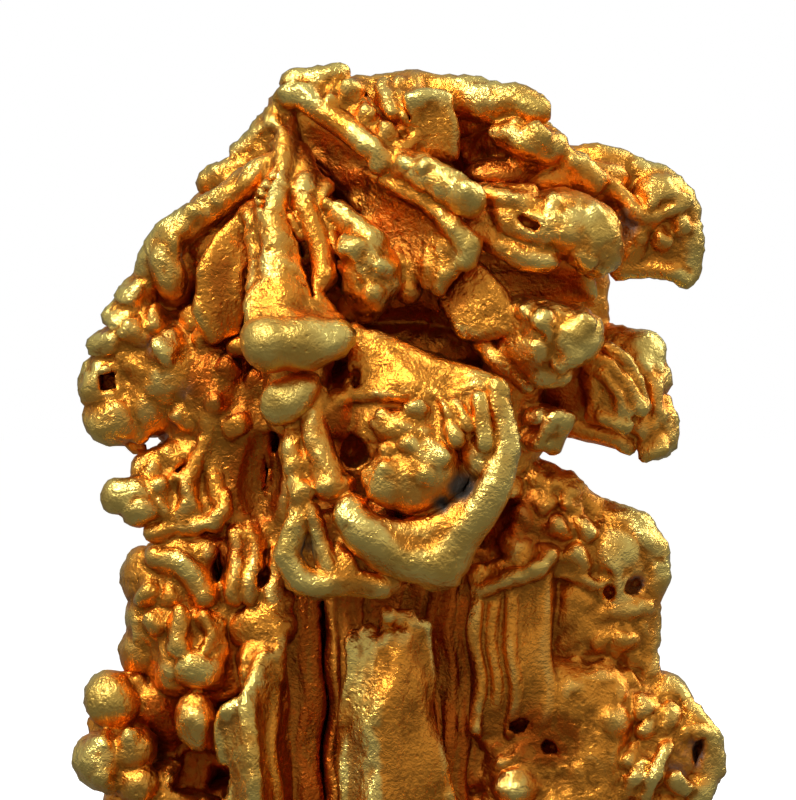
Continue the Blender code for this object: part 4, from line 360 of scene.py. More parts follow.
# The left of the head: long ridge, leaf, cluster of lobes and fork.
LEFT_HEAD = [
    rod((-3.95, -0.7, 14.98, 0.19), (-3.7, -0.8, 15.1, 0.23), (-3.2, -0.9, 15.2, 0.2)),
    lump(-3.45, -1.0, 15.0, 0.22), knob(-3.3, -0.7, 14.75, 0.6, 0.5, 0.45),
    rod((-2.6, -1.5, 15.25, 0.22), (-3.1, -1.6, 14.95, 0.28), (-4.0, -1.65, 14.38, 0.3),
        (-4.56, -1.55, 13.96, 0.31), (-4.92, -1.4, 13.38, 0.3), (-5.15, -1.2, 12.85, 0.27)),
    knob(-4.72, -1.65, 13.2, 0.34, 0.34, 0.6),
    *lumps((-4.6, -1.75, 13.7, 0.22), (-3.6, -1.8, 14.7, 0.2), (-4.1, -1.8, 14.4, 0.2),
        (-3.15, -1.75, 14.95, 0.2)),
    plate((-2.95, -1.9, 14.45, 0.1), (-3.66, -2.0, 13.9, 0.1), (-4.0, -2.1, 13.2, 0.12),
        (-4.08, -2.15, 12.5, 0.12), (-3.7, -2.1, 11.9, 0.12), (-3.25, -2.0, 12.1, 0.12),
        (-3.15, -1.95, 13.2, 0.1)),
    knob(-3.6, -0.3, 13.6, 0.95, 1.1, 1.2), rod((-4.6, -0.9, 12.9, 0.4), (-3.6, -0.7, 14.4, 0.35)),
    # the lobed cluster
    *lumps((-5.38, -1.3, 12.62, 0.34), (-5.66, -1.25, 12.2, 0.38), (-5.86, -1.2, 11.72, 0.37),
        (-5.35, -1.5, 11.9, 0.32)),
    knob(-5.88, -1.1, 10.85, 0.54, 0.55, 0.56), knob(-5.75, -1.15, 10.2, 0.6, 0.55, 0.5),
    *lumps((-5.98, -1.1, 11.3, 0.34), (-5.35, -1.3, 9.98, 0.28)),
    rod((-5.4, -1.1, 9.95, 0.17), (-5.46, -1.1, 9.7, 0.09), (-5.25, -1.1, 9.62, 0.06)),
    knob(-4.4, -0.9, 11.2, 1.25, 1.0, 1.3), knob(-4.0, -0.4, 10.4, 1.35, 1.4, 1.5),
    knob(-5.2, -1.05, 11.5, 0.75, 0.6, 1.15), knob(-3.7, -1.5, 10.9, 0.75, 0.6, 1.1),
    knob(-5.1, -1.15, 10.5, 0.7, 0.6, 0.6),
    *lumps((-5.0, -1.5, 12.15, 0.28), (-4.7, -1.7, 11.65, 0.36), (-3.9, -1.8, 11.9, 0.2),
        (-4.55, -1.65, 11.1, 0.26), (-3.95, -1.85, 11.15, 0.22), (-5.3, -1.5, 11.2, 0.24),
        (-4.95, -1.5, 10.75, 0.26), (-4.45, -1.65, 10.25, 0.28), (-3.75, -1.95, 10.65, 0.24),
        (-3.45, -2.0, 11.3, 0.26), (-3.3, -2.05, 10.15, 0.24), (-4.2, -1.6, 12.3, 0.22),
        (-3.2, -2.15, 11.7, 0.2)),
    knob(-4.3, -1.35, 10.9, 0.9, 0.45, 0.9), knob(-5.1, -1.2, 11.1, 0.5, 0.45, 0.8),
    # fork
    rod((-4.5, -1.55, 8.75, 0.3), (-5.3, -1.65, 8.66, 0.31), (-5.68, -1.65, 8.64, 0.33)),
    knob(-5.22, -1.7, 8.36, 0.38, 0.36, 0.3), *lumps((-4.75, -1.75, 8.38, 0.27), (-4.3, -1.85, 8.42, 0.32)),
    plate((-5.15, -1.4, 9.25, 0.22), (-4.3, -1.5, 9.6, 0.25), (-3.7, -1.7, 9.0, 0.22),
        (-3.85, -1.75, 8.45, 0.25), (-5.2, -1.55, 8.5, 0.28)),
    *lumps((-4.95, -1.5, 9.15, 0.3), (-4.65, -1.55, 9.42, 0.26), (-4.8, -1.75, 8.85, 0.24),
        (-4.35, -1.8, 9.0, 0.24), (-4.15, -1.75, 9.45, 0.22)),
    rod((-3.98, -1.8, 9.8, 0.14), (-4.12, -1.95, 9.3, 0.12), (-4.2, -2.0, 8.75, 0.14)),
    rod((-3.9, -1.75, 9.7, 0.14), (-3.7, -1.95, 9.1, 0.14), (-3.6, -2.0, 8.6, 0.14)),
    rod((-3.48, -2.1, 8.75, 0.09), (-3.5, -2.15, 8.46, 0.12), (-3.8, -2.1, 8.22, 0.13),
        (-4.5, -1.9, 8.04, 0.13), (-4.95, -1.8, 7.88, 0.17)),
    plate((-3.9, -1.7, 10.3, 0.18), (-3.6, -1.75, 8.3, 0.18), (-2.3, -2.0, 7.5, 0.15),
        (-2.2, -2.2, 10.3, 0.15), (-2.9, -2.0, 11.0, 0.18)),
    knob(-4.3, -0.9, 8.8, 0.8, 0.6, 0.75),
]

# The left of the body.
LEFT_BODY = [
    knob(-5.04, -1.1, 6.98, 0.64, 0.7, 0.62), knob(-4.98, -1.0, 6.2, 0.58, 0.7, 0.7),
    knob(-5.1, -1.0, 5.6, 0.5, 0.6, 0.5), block(-4.0, -0.6, 6.3, 1.0, 1.4, 1.7, edge=0.5),
    knob(-4.2, -1.5, 7.1, 0.75, 0.5, 0.65),
    # worn band, ribs and the boss at their foot
    rod((-4.95, -1.5, 7.5, 0.18), (-4.6, -1.65, 7.78, 0.16), (-3.92, -1.75, 7.82, 0.16)),
    rod((-4.9, -1.8, 7.35, 0.24), (-4.46, -1.95, 7.32, 0.25), (-4.14, -2.05, 7.1, 0.24),
        (-3.94, -2.1, 6.7, 0.22)),
    *lumps((-5.05, -1.65, 6.7, 0.34), (-4.75, -1.75, 6.15, 0.33), (-4.6, -1.8, 6.6, 0.3),
        (-5.1, -1.5, 5.95, 0.28)),
    rod((-3.35, -2.05, 7.9, 0.17), (-3.3, -2.1, 7.3, 0.18), (-3.3, -2.15, 6.7, 0.17)),
    rod((-3.05, -2.05, 7.9, 0.17), (-3.0, -2.15, 7.3, 0.18), (-2.95, -2.2, 6.7, 0.18)),
    rod((-2.5, -2.15, 7.5, 0.17), (-2.5, -2.2, 6.6, 0.2)), knob(-2.72, -2.05, 6.05, 0.62, 0.4, 0.5),
    rod((-2.6, -2.2, 6.3, 0.22), (-2.3, -2.1, 6.5, 0.2)),
    plate((-3.9, -1.6, 8.0, 0.2), (-2.3, -1.8, 7.9, 0.2), (-2.3, -1.8, 6.4, 0.2), (-3.9, -1.7, 6.2, 0.2)),
    # tongue
    rod((-4.42, -2.05, 6.2, 0.17), (-4.42, -2.15, 5.6, 0.2)),
    rod((-4.1, -2.0, 6.25, 0.17), (-3.76, -2.05, 6.1, 0.17), (-3.64, -2.1, 5.6, 0.17),
        (-3.8, -2.2, 5.25, 0.2)),
    knob(-4.08, -2.05, 5.2, 0.5, 0.4, 0.42), knob(-4.05, -1.75, 5.7, 0.5, 0.38, 0.55),
    lump(-4.3, -2.0, 5.9, 0.22),
    # egg lobe and the cluster at the left edge
    knob(-4.1, -2.0, 4.2, 0.36, 0.36, 0.54, tilt=(0, -10, 0)), knob(-5.88, -1.4, 4.5, 0.54, 0.6, 0.55),
    knob(-5.92, -1.3, 3.35, 0.62, 0.7, 0.62), lump(-5.85, -1.1, 3.95, 0.42),
    knob(-5.35, -1.6, 3.5, 0.42, 0.5, 0.45), knob(-5.3, -1.5, 2.9, 0.45, 0.5, 0.45),
    *lumps((-5.9, -1.8, 3.0, 0.28), (-6.0, -1.7, 3.6, 0.28), (-5.5, -1.9, 3.75, 0.24)),
    knob(-5.0, -0.9, 4.4, 0.65, 0.7, 0.65), rod((-5.85, -1.1, 4.88, 0.2), (-5.3, -1.2, 4.85, 0.24)),
    knob(-4.6, -0.1, 3.4, 0.8, 0.7, 0.9),
]

# The two blades at the front of the body and the fluted wall behind them.
BLADES = [
    # first blade: a crest over a left face and a right face
    plate((-3.1, -2.35, 5.6, 0.13), (-2.5, -2.3, 5.9, 0.14), (-2.5, -2.45, 5.0, 0.13),
        (-3.0, -2.5, 5.1, 0.13)),
    plate((-3.5, -2.45, 4.35, 0.13), (-3.08, -2.95, 4.5, 0.13), (-3.0, -3.05, 1.4, 0.15),
        (-3.4, -2.5, 1.4, 0.14)),
    plate((-3.05, -2.95, 4.6, 0.12), (-2.84, -2.6, 5.45, 0.12), (-2.5, -2.3, 5.4, 0.12),
        (-2.38, -2.0, 3.4, 0.12), (-2.35, -1.95, 1.4, 0.12), (-3.0, -3.05, 1.4, 0.14)),
    rod((-2.82, -2.5, 5.5, 0.15), (-2.95, -2.68, 5.0, 0.16), (-3.1, -2.85, 4.6, 0.15),
        (-3.45, -2.75, 4.38, 0.15)),
    rod((-3.04, -3.0, 4.5, 0.12), (-2.98, -3.08, 3.2, 0.13), (-3.02, -3.08, 1.6, 0.15)),
    rod((-3.5, -2.55, 4.3, 0.14), (-3.4, -2.6, 2.6, 0.17), (-3.3, -2.6, 1.4, 0.2)),
    block(-2.85, -1.5, 3.0, 0.38, 1.1, 2.6, edge=0.1),
    # second blade
    plate((-0.98, -2.55, 5.7, 0.13), (-0.15, -2.95, 5.7, 0.13), (-0.05, -3.05, 5.3, 0.13),
        (-0.55, -3.05, 4.0, 0.13), (-1.0, -2.7, 4.2, 0.13)),
    plate((0.02, -3.0, 5.9, 0.12), (0.42, -2.6, 6.0, 0.12), (0.5, -2.4, 4.35, 0.13),
        (0.95, -2.2, 2.4, 0.14), (0.9, -2.2, 1.3, 0.14), (-0.5, -3.1, 1.6, 0.14), (-0.52, -3.08, 3.9, 0.14),
        (-0.02, -3.08, 5.3, 0.12)),
    plate((-1.08, -2.6, 3.9, 0.13), (-0.58, -3.1, 4.0, 0.13), (-0.5, -3.12, 1.6, 0.15),
        (-1.12, -2.6, 1.6, 0.14)),
    rod((0.2, -2.85, 6.15, 0.12), (0.44, -2.6, 6.0, 0.13), (0.5, -2.48, 4.4, 0.13), (0.72, -2.4, 3.4, 0.14),
        (0.96, -2.3, 2.4, 0.15), (0.9, -2.2, 1.2, 0.2)),
    rod((-0.02, -3.08, 5.6, 0.1), (-0.08, -3.1, 4.8, 0.1), (-0.55, -3.1, 3.98, 0.12),
        (-0.52, -3.14, 3.2, 0.12), (-0.5, -3.12, 1.8, 0.15)),
    rod((-1.0, -2.65, 5.7, 0.11), (-1.0, -2.72, 4.8, 0.11), (-1.05, -2.7, 3.8, 0.14),
        (-1.12, -2.7, 2.0, 0.17)),
    block(-0.2, -1.4, 3.3, 0.55, 1.1, 2.7, edge=0.1),
    *lumps((-0.23, -2.85, 6.3, 0.16), (-0.22, -2.9, 5.85, 0.15)),
    rod((-0.2, -2.7, 6.3, 0.12), (-0.2, -2.8, 5.8, 0.12)),
    *lumps((0.1, -2.75, 6.25, 0.17), (-0.6, -2.65, 5.85, 0.16), (-0.9, -2.5, 5.8, 0.14)),
    # fluted wall behind the blades
    block(-2.06, -0.95, 4.2, 0.44, 0.95, 4.0, edge=0.06),
    rod((-2.3, -1.88, 6.4, 0.06), (-2.3, -1.88, 2.0, 0.07)),
    rod((-1.95, -1.88, 6.5, 0.06), (-1.93, -1.88, 2.0, 0.07)),
    block(-1.1, -0.95, 4.4, 0.34, 0.95, 4.0, edge=0.06),
    rod((-1.3, -1.92, 6.8, 0.05), (-1.3, -1.92, 2.0, 0.06)),
    rod((-1.05, -1.92, 6.8, 0.05), (-1.03, -1.95, 4.0, 0.06)),
    block(-0.4, -0.8, 5.0, 0.4, 0.9, 2.5, edge=0.05), block(1.1, -0.65, 4.8, 1.1, 0.95, 2.9, edge=0.1),
    block(0.74, -0.85, 4.7, 0.1, 0.95, 3.6, edge=0.05), block(1.0, -0.92, 4.7, 0.1, 0.95, 3.6, edge=0.05),
    block(1.26, -0.85, 4.7, 0.1, 0.95, 3.6, edge=0.05),
    # the framed panel and the broad panel beside it
    block(1.9, -1.02, 5.6, 0.42, 0.95, 1.65, edge=0.05), block(1.56, -1.12, 5.6, 0.08, 1.0, 1.7, edge=0.04),
    block(2.27, -1.12, 5.6, 0.08, 1.0, 1.7, edge=0.04), block(1.9, -1.1, 5.7, 0.05, 0.95, 1.2, edge=0.03),
    block(2.75, -1.05, 5.6, 0.42, 1.0, 1.6, tilt=(0, 0, -8), edge=0.08),
    rod((1.55, -2.02, 6.8, 0.14), (2.22, -2.15, 7.02, 0.15), (2.76, -2.15, 7.2, 0.16),
        (2.95, -2.05, 7.45, 0.15)),
    rod((1.6, -1.8, 7.0, 0.25), (2.9, -1.75, 7.4, 0.3)),
]

# The right of the body.
RIGHT_BODY = [
    rod((2.5, -1.3, 9.05, 0.3), (3.35, -1.3, 8.82, 0.33), (3.75, -1.2, 8.5, 0.3), (4.15, -1.1, 8.36, 0.28)),
    *lumps((2.75, -1.55, 8.98, 0.22), (3.1, -1.55, 8.85, 0.22), (3.5, -1.5, 8.6, 0.24),
        (2.4, -1.7, 8.8, 0.24), (2.9, -1.65, 8.5, 0.25)),
    knob(2.8, -0.95, 7.9, 1.2, 0.85, 0.95), knob(3.4, -1.0, 7.5, 0.95, 0.75, 0.9),
    *lumps((2.5, -1.65, 8.2, 0.32), (3.1, -1.65, 7.95, 0.32), (2.25, -1.65, 7.65, 0.3),
        (3.5, -1.6, 7.4, 0.34), (2.85, -1.65, 7.4, 0.3), (3.7, -1.6, 7.95, 0.3)),
    # shoulder crest and its mass
    rod((4.05, -1.1, 8.36, 0.28), (4.45, -1.15, 8.22, 0.3), (4.82, -1.2, 7.98, 0.33),
        (5.04, -1.25, 7.58, 0.33), (5.1, -1.2, 7.1, 0.28), (5.0, -1.1, 6.75, 0.27)),
    knob(4.3, -1.05, 7.55, 0.78, 0.7, 0.75), knob(4.35, -1.05, 6.9, 0.7, 0.7, 0.6),
    knob(4.35, -1.3, 7.6, 0.6, 0.42, 0.5), *lumps((4.25, -1.6, 7.3, 0.2), (4.45, -1.5, 6.6, 0.2)),
    knob(4.95, -1.35, 7.75, 0.16, 0.3, 0.36, tilt=(0, -20, 0)),
    rod((3.9, -1.5, 6.3, 0.15), (4.2, -1.55, 6.42, 0.16), (4.6, -1.55, 6.4, 0.15),
        (4.95, -1.35, 6.42, 0.14)),
    knob(4.2, -0.9, 5.9, 0.9, 0.75, 0.9),
    rod((4.95, -1.1, 6.8, 0.27), (4.96, -1.1, 6.0, 0.26), (4.97, -1.1, 5.1, 0.27)),
    *lumps((4.0, -1.5, 5.85, 0.24), (4.5, -1.5, 5.7, 0.26), (4.8, -1.25, 6.05, 0.22),
        (4.3, -1.45, 5.25, 0.22), (4.8, -1.25, 5.4, 0.24), (3.65, -1.5, 5.4, 0.2), (3.6, -1.5, 6.5, 0.2),
        (4.6, -1.45, 5.0, 0.24)),
    knob(3.6, -0.9, 6.2, 0.75, 0.85, 1.3), block(3.2, -0.5, 3.5, 1.5, 1.5, 1.9, edge=0.6),
    knob(4.4, -0.95, 4.5, 0.8, 0.75, 0.8), knob(4.18, -1.75, 4.18, 0.42, 0.36, 0.4),
    knob(3.25, -1.6, 4.6, 0.5, 0.42, 0.36),
    *lumps((3.5, -1.65, 3.95, 0.3), (2.3, -1.8, 3.45, 0.3), (3.5, -1.75, 3.1, 0.32)),
    knob(2.35, -1.9, 2.8, 0.45, 0.42, 0.4, tilt=(0, 20, 0)),
    *lumps((1.9, -1.7, 3.8, 0.28), (4.05, -1.65, 3.3, 0.32)), knob(2.8, -1.75, 4.7, 0.4, 0.3, 0.3),
    *lumps((2.8, -1.8, 2.9, 0.28), (2.0, -1.65, 4.4, 0.24)),
    # the crowned cluster at the right edge
    knob(5.3, -0.9, 4.45, 0.6, 0.6, 0.55), knob(5.55, -0.85, 3.5, 0.72, 0.75, 0.95),
    rod((4.0, -0.6, 3.6, 0.8), (5.2, -0.6, 3.6, 0.75)), knob(5.25, -1.2, 3.6, 0.7, 0.6, 0.85),
    rod((5.55, -1.2, 4.66, 0.2), (5.85, -1.35, 4.15, 0.2), (6.24, -1.3, 3.72, 0.23),
        (6.32, -1.2, 3.15, 0.26), (6.05, -1.3, 2.65, 0.26)),
    knob(5.35, -1.6, 4.1, 0.24, 0.24, 0.36), *lumps((5.0, -1.6, 4.05, 0.27), (4.8, -1.6, 4.5, 0.25)),
    rod((4.45, -1.8, 2.7, 0.14), (4.75, -1.95, 3.0, 0.14), (5.0, -1.9, 3.32, 0.13)),
    rod((4.9, -1.85, 2.7, 0.14), (5.2, -2.0, 3.1, 0.14), (5.42, -1.9, 3.55, 0.13)),
    *lumps((5.65, -1.6, 2.9, 0.26), (4.75, -1.7, 3.45, 0.26), (5.7, -1.5, 3.9, 0.22),
        (6.0, -1.5, 3.9, 0.2)),
]

# The lower end of the body.
LOWER = [
    rod((-4.6, -0.9, 2.6, 0.8), (-3.9, -0.6, 1.2, 0.8)), rod((4.7, -0.6, 2.6, 0.8), (3.9, -0.4, 1.2, 0.8)),
    knob(-5.3, -0.9, 2.4, 0.6, 0.6, 0.6), knob(5.4, -0.8, 2.4, 0.62, 0.6, 0.6),
    *lumps((-4.6, -1.6, 1.9, 0.5), (-3.9, -2.0, 1.3, 0.45), (-4.7, -1.2, 1.0, 0.5), (-2.2, -2.3, 1.0, 0.5),
        (-1.4, -2.4, 1.5, 0.4), (0.3, -2.4, 0.9, 0.5), (1.6, -2.1, 1.6, 0.5), (1.2, -2.2, 0.8, 0.45),
        (2.6, -1.9, 1.9, 0.45), (3.4, -1.6, 1.4, 0.5), (2.4, -1.8, 0.8, 0.45), (4.5, -1.3, 1.8, 0.5),
        (4.4, -0.9, 0.9, 0.5)),
    rod((-0.9, -2.5, 1.8, 0.35), (-0.8, -1.9, 0.75, 0.55)),
    rod((-3.2, -2.5, 1.8, 0.32), (-2.7, -1.8, 0.8, 0.55)),
]

# What carries the arms and lobes from behind.
FAR_MASS = [
    rod((2.8, 1.0, 15.0, 0.45), (4.2, 0.8, 14.6, 0.45), (5.0, 0.4, 14.3, 0.42)),
    *lumps((4.6, 0.9, 14.1, 0.4), (3.9, 1.2, 14.7, 0.35)),
    rod((3.0, 1.0, 10.9, 0.45), (4.4, 0.5, 10.9, 0.42), (4.8, 0.1, 10.8, 0.4)),
    *lumps((4.2, 0.9, 11.1, 0.35), (-1.9, -0.5, 16.3, 0.42), (4.4, -0.6, 15.1, 0.38),
        (3.2, -0.8, 12.7, 0.5), (4.7, -0.6, 6.9, 0.55), (-3.9, -1.0, 14.2, 0.45)),
    rod((-4.6, -0.8, 8.2, 0.35), (-3.4, -0.6, 8.3, 0.5)), knob(-4.9, -0.4, 4.3, 0.75, 0.8, 0.8),
    *lumps((-1.3, 0.2, 16.35, 0.48), (-0.2, -0.2, 16.45, 0.45), (0.5, 0.5, 16.35, 0.5),
        (1.5, -0.2, 16.2, 0.45)),
    rod((-0.6, 0.6, 16.2, 0.3), (-0.1, 1.4, 16.5, 0.33)), lump(-0.7, 0.9, 16.45, 0.3),
    rod((0.9, 0.8, 16.0, 0.3), (1.7, 1.5, 16.0, 0.34)),
    rod((-1.4, 0.6, 15.8, 0.32), (-2.0, 1.3, 16.0, 0.32)),
    rod((-1.7, 0.2, 16.2, 0.2), (-0.6, 1.0, 16.6, 0.17), (0.6, 1.2, 16.5, 0.19)),
    *lumps((-5.3, 0.2, 11.2, 0.5), (-5.4, 0.1, 10.4, 0.45), (-5.5, -0.1, 4.2, 0.55), (-5.6, 0.0, 3.3, 0.55),
        (5.5, 0.2, 3.9, 0.55), (5.6, 0.1, 3.0, 0.55)),
]

# Pits, slots and grooves.
HOLLOWS = [
    # under the summit's face, in its roof and beside the long bar
    slit((-1.78, 15.4, 0.08, -2.4, -0.2), (-1.3, 14.85, 0.2, -2.5, -0.2), (-0.8, 14.36, 0.1, -2.7, -0.6)),
    knob(-1.25, -1.6, 14.72, 0.24, 1.4, 0.3, tilt=(0, 40, 0)),
    slit((-0.74, 16.8, 0.04, -2.4, -1.0), (-0.46, 16.45, 0.09, -2.4, -1.0)),
    slit((-0.46, 16.45, 0.09, -2.5, -1.0), (-0.14, 16.1, 0.08, -2.6, -1.4)),
    slit((0.03, 16.7, 0.03, -2.4, -1.1), (0.16, 16.22, 0.08, -2.6, -1.3)),
    knob(0.02, -2.4, 15.9, 0.2, 0.6, 0.14, tilt=(0, 20, 0)),
    # the finger of the fist, the right arm
    knob(2.6, -2.95, 14.22, 0.28, 0.4, 0.16, tilt=(0, 20, 0)),
    rod((4.25, -1.7, 15.2, 0.09), (4.75, -1.7, 15.0, 0.14)),
    rod((4.55, -1.75, 14.2, 0.1), (5.0, -1.8, 14.08, 0.12), (5.35, -1.8, 14.1, 0.07)),
    rod((4.8, -1.8, 13.64, 0.07), (5.3, -1.8, 13.6, 0.08)),
    *lumps((5.85, -1.5, 14.02, 0.08), (5.6, -1.6, 13.75, 0.1)),
    rod((2.9, -2.3, 13.1, 0.08), (3.4, -2.3, 13.0, 0.1)),
    rod((4.05, -2.4, 11.9, 0.05), (4.0, -2.3, 11.45, 0.07)), knob(3.25, -2.0, 10.85, 0.2, 0.5, 0.2),
    rod((5.15, -1.6, 11.3, 0.07), (5.28, -1.6, 10.95, 0.08)),
    # in and round the curl
    knob(-0.95, -3.6, 11.05, 0.15, 0.8, 0.28), knob(-0.93, -3.9, 9.54, 0.33, 1.3, 0.44),
    rod((-1.36, -4.15, 8.42, 0.1), (-1.28, -4.15, 8.05, 0.12), (-1.08, -4.1, 7.55, 0.1)),
    rod((1.24, -4.35, 9.6, 0.09), (1.3, -4.4, 9.3, 0.12), (1.3, -4.4, 8.85, 0.19), (0.9, -4.4, 8.55, 0.16),
        (0.45, -4.4, 8.3, 0.14), (0.0, -4.35, 8.2, 0.16), (-0.38, -4.3, 8.24, 0.12)),
    rod((1.3, -4.1, 9.2, 0.1), (1.28, -4.1, 8.85, 0.17), (0.9, -4.1, 8.55, 0.14), (0.45, -4.1, 8.32, 0.12),
        (0.0, -4.05, 8.22, 0.14), (-0.36, -4.05, 8.26, 0.1)),
    rod((1.3, -3.75, 9.1, 0.1), (1.26, -3.75, 8.85, 0.15), (0.9, -3.75, 8.55, 0.13),
        (0.45, -3.7, 8.34, 0.12), (0.0, -3.65, 8.24, 0.15), (-0.36, -3.7, 8.28, 0.12)),
    rod((0.9, -3.45, 8.55, 0.1), (0.0, -3.4, 8.26, 0.13)),
    slit((1.4, 10.4, 0.03, -4.5, -3.7), (1.48, 9.8, 0.06, -4.5, -3.7)),
    slit((1.84, 10.4, 0.03, -4.5, -3.7), (1.84, 9.6, 0.05, -4.5, -3.7)),
    rod((1.24, -4.3, 9.8, 0.05), (1.3, -4.3, 9.5, 0.08)), lump(0.5, -4.3, 9.62, 0.07),
    rod((-1.96, -4.1, 8.1, 0.09), (-1.84, -4.1, 7.72, 0.16), (-1.66, -4.1, 7.36, 0.1)),
    rod((-1.36, -4.1, 8.1, 0.07), (-1.2, -4.1, 7.5, 0.08)),
    # between the ribs
    slit((-2.3, 14.5, 0.04, -2.7, -1.5), (-2.02, 13.36, 0.11, -3.3, -2.1)),
    slit((-2.02, 13.36, 0.11, -3.3, -2.1), (-1.7, 12.62, 0.07, -3.6, -2.5)),
    slit((-1.5, 13.9, 0.04, -3.0, -1.9), (-1.22, 12.7, 0.11, -3.4, -2.2)),
    slit((-2.46, 15.3, 0.04, -2.3, -1.2), (-2.68, 14.4, 0.08, -2.7, -1.6)),
    rod((-4.38, -2.0, 13.85, 0.08), (-4.32, -1.9, 12.9, 0.14), (-4.2, -1.9, 12.3, 0.14)),
    rod((-3.06, -2.3, 14.0, 0.05), (-3.14, -2.4, 13.2, 0.1), (-3.12, -2.45, 12.1, 0.18)),
    rod((-3.14, -2.0, 13.2, 0.1), (-3.12, -2.0, 12.1, 0.17)),
    # left cluster and fork
    block(-5.86, -1.5, 10.92, 0.21, 0.8, 0.22, edge=0.08),
    *lumps((-5.05, -1.9, 11.62, 0.19), (-4.4, -2.15, 10.7, 0.12), (-3.3, -2.5, 10.75, 0.12),
        (-4.85, -2.0, 12.35, 0.1)),
    slit((-4.3, 9.5, 0.04, -2.3, -1.5), (-4.44, 9.15, 0.1, -2.3, -1.5)),
    slit((-4.08, 9.3, 0.02, -2.3, -1.7), (-4.06, 8.9, 0.04, -2.3, -1.7)),
    knob(-2.85, -2.3, 9.0, 0.55, 0.5, 1.05), knob(-2.5, -2.3, 9.75, 0.16, 0.9, 0.3),
    # left body
    knob(-3.72, -2.2, 7.3, 0.17, 0.9, 0.42), knob(-2.74, -2.3, 7.05, 0.15, 0.7, 0.26),
    *lumps((-2.73, -2.5, 6.12, 0.08), (-3.86, -2.35, 5.45, 0.1)),
    rod((-4.7, -2.1, 6.25, 0.05), (-4.65, -2.1, 5.7, 0.07)),
    block(-3.98, -1.6, 3.05, 0.56, 1.2, 0.46, tilt=(0, 14, 0), edge=0.14),
    # slot in the wall, pits of the right body
    block(-1.5, -1.9, 3.4, 0.055, 0.75, 3.5, edge=0.03), knob(2.25, -2.2, 7.3, 0.4, 0.25, 0.13),
    knob(2.0, -2.2, 5.3, 0.14, 0.25, 0.12),
    rod((3.05, -2.15, 5.9, 0.03), (2.9, -2.15, 5.2, 0.04), (2.85, -2.15, 4.6, 0.05)),
    knob(4.74, -1.7, 6.9, 0.25, 0.6, 0.29), knob(4.24, -1.8, 6.8, 0.16, 0.5, 0.21),
    knob(2.42, -2.0, 4.1, 0.22, 0.6, 0.19, tilt=(0, 25, 0)),
    rod((2.5, -2.1, 4.05, 0.13), (2.86, -2.1, 4.2, 0.06)),
    knob(3.06, -1.95, 3.6, 0.21, 0.6, 0.18, tilt=(0, -20, 0)),
    rod((3.1, -2.0, 3.6, 0.14), (3.4, -2.0, 3.4, 0.08)),
    *lumps((3.75, -2.1, 4.5, 0.13), (3.9, -2.15, 2.75, 0.2)), knob(1.6, -2.0, 2.8, 0.27, 0.6, 0.22),
    knob(6.06, -1.6, 3.5, 0.19, 0.75, 0.36), lump(4.6, -2.0, 3.9, 0.12),
    # the gap between the left cluster and the fork under it
    rod((-5.04, -2.6, 9.78, 0.19), (-5.1, 0.0, 9.76, 0.22), (-5.35, 2.6, 9.8, 0.26)),
    rod((-4.82, -2.6, 9.82, 0.14), (-4.86, 0.0, 9.82, 0.16), (-5.0, 2.6, 9.8, 0.2)),
]

# Small forms on the shown side.
FINE = [
    rod((1.5, -3.95, 8.5, 0.28), (1.05, -3.95, 8.15, 0.38), (0.5, -3.95, 7.9, 0.4),
        (0.0, -3.95, 7.85, 0.36), (-0.4, -3.95, 8.0, 0.25)),
    knob(1.62, -3.95, 9.45, 0.3, 0.25, 0.42), knob(0.9, -3.85, 10.0, 0.45, 0.3, 0.35),
    rod((4.2, -1.8, 11.72, 0.07), (4.62, -1.92, 11.45, 0.08), (4.86, -1.85, 11.0, 0.08),
        (4.92, -1.7, 10.5, 0.07)),
    rod((3.86, -1.95, 11.25, 0.07), (4.18, -2.1, 11.12, 0.08), (4.4, -2.1, 10.75, 0.08),
        (4.36, -2.0, 10.35, 0.07)),
    rod((4.0, -1.95, 10.3, 0.1), (4.5, -1.9, 10.1, 0.12)),
    plate((3.95, -1.9, 11.0, 0.1), (4.5, -1.95, 10.95, 0.1), (4.5, -1.9, 10.2, 0.1),
        (3.85, -1.75, 10.3, 0.1)),
    rod((-4.42, -2.2, 6.35, 0.13), (-4.4, -2.25, 5.7, 0.15)),
    rod((-3.95, -2.2, 6.3, 0.09), (-3.78, -2.25, 5.9, 0.09), (-3.9, -2.3, 5.6, 0.08)),
    knob(-2.05, -3.78, 11.76, 0.9, 0.5, 0.5), knob(0.05, -4.0, 9.0, 0.85, 0.38, 0.5),
    knob(0.36, -3.95, 10.4, 0.26, 0.24, 0.18), rod((5.0, -1.55, 4.55, 0.13), (5.15, -1.68, 4.0, 0.12)),
    rod((4.6, -1.75, 3.0, 0.1), (4.95, -1.85, 3.4, 0.1)),
    rod((3.02, -1.75, 7.15, 0.1), (3.9, -1.7, 6.9, 0.1)),
    block(2.9, -1.55, 8.0, 0.35, 0.2, 0.3, tilt=(0, 30, 10), edge=0.06),
    block(3.5, -1.45, 8.1, 0.3, 0.2, 0.28, tilt=(10, -20, 0), edge=0.06),
    block(2.4, -1.6, 7.9, 0.25, 0.2, 0.25, tilt=(20, 10, 20), edge=0.05),
]


def depth_at(height, depth):
    """A depth, less near the summit."""
    return depth * SUMMIT_DEPTH if height > SUMMIT_LEVEL else depth


def bulk():
    """One wide knob to a level, which the forms grow from."""
    knobs = []
    for z, left, right in LEVELS:
        half_width = (right - left) / 2 - BULK_INSET
        half_depth = depth_at(z, BULK_DEPTH)
        knobs.append(knob((left + right) / 2, MIDDLE_DEPTH, z, half_width, half_depth, BULK_HALF_HEIGHT))
    return knobs


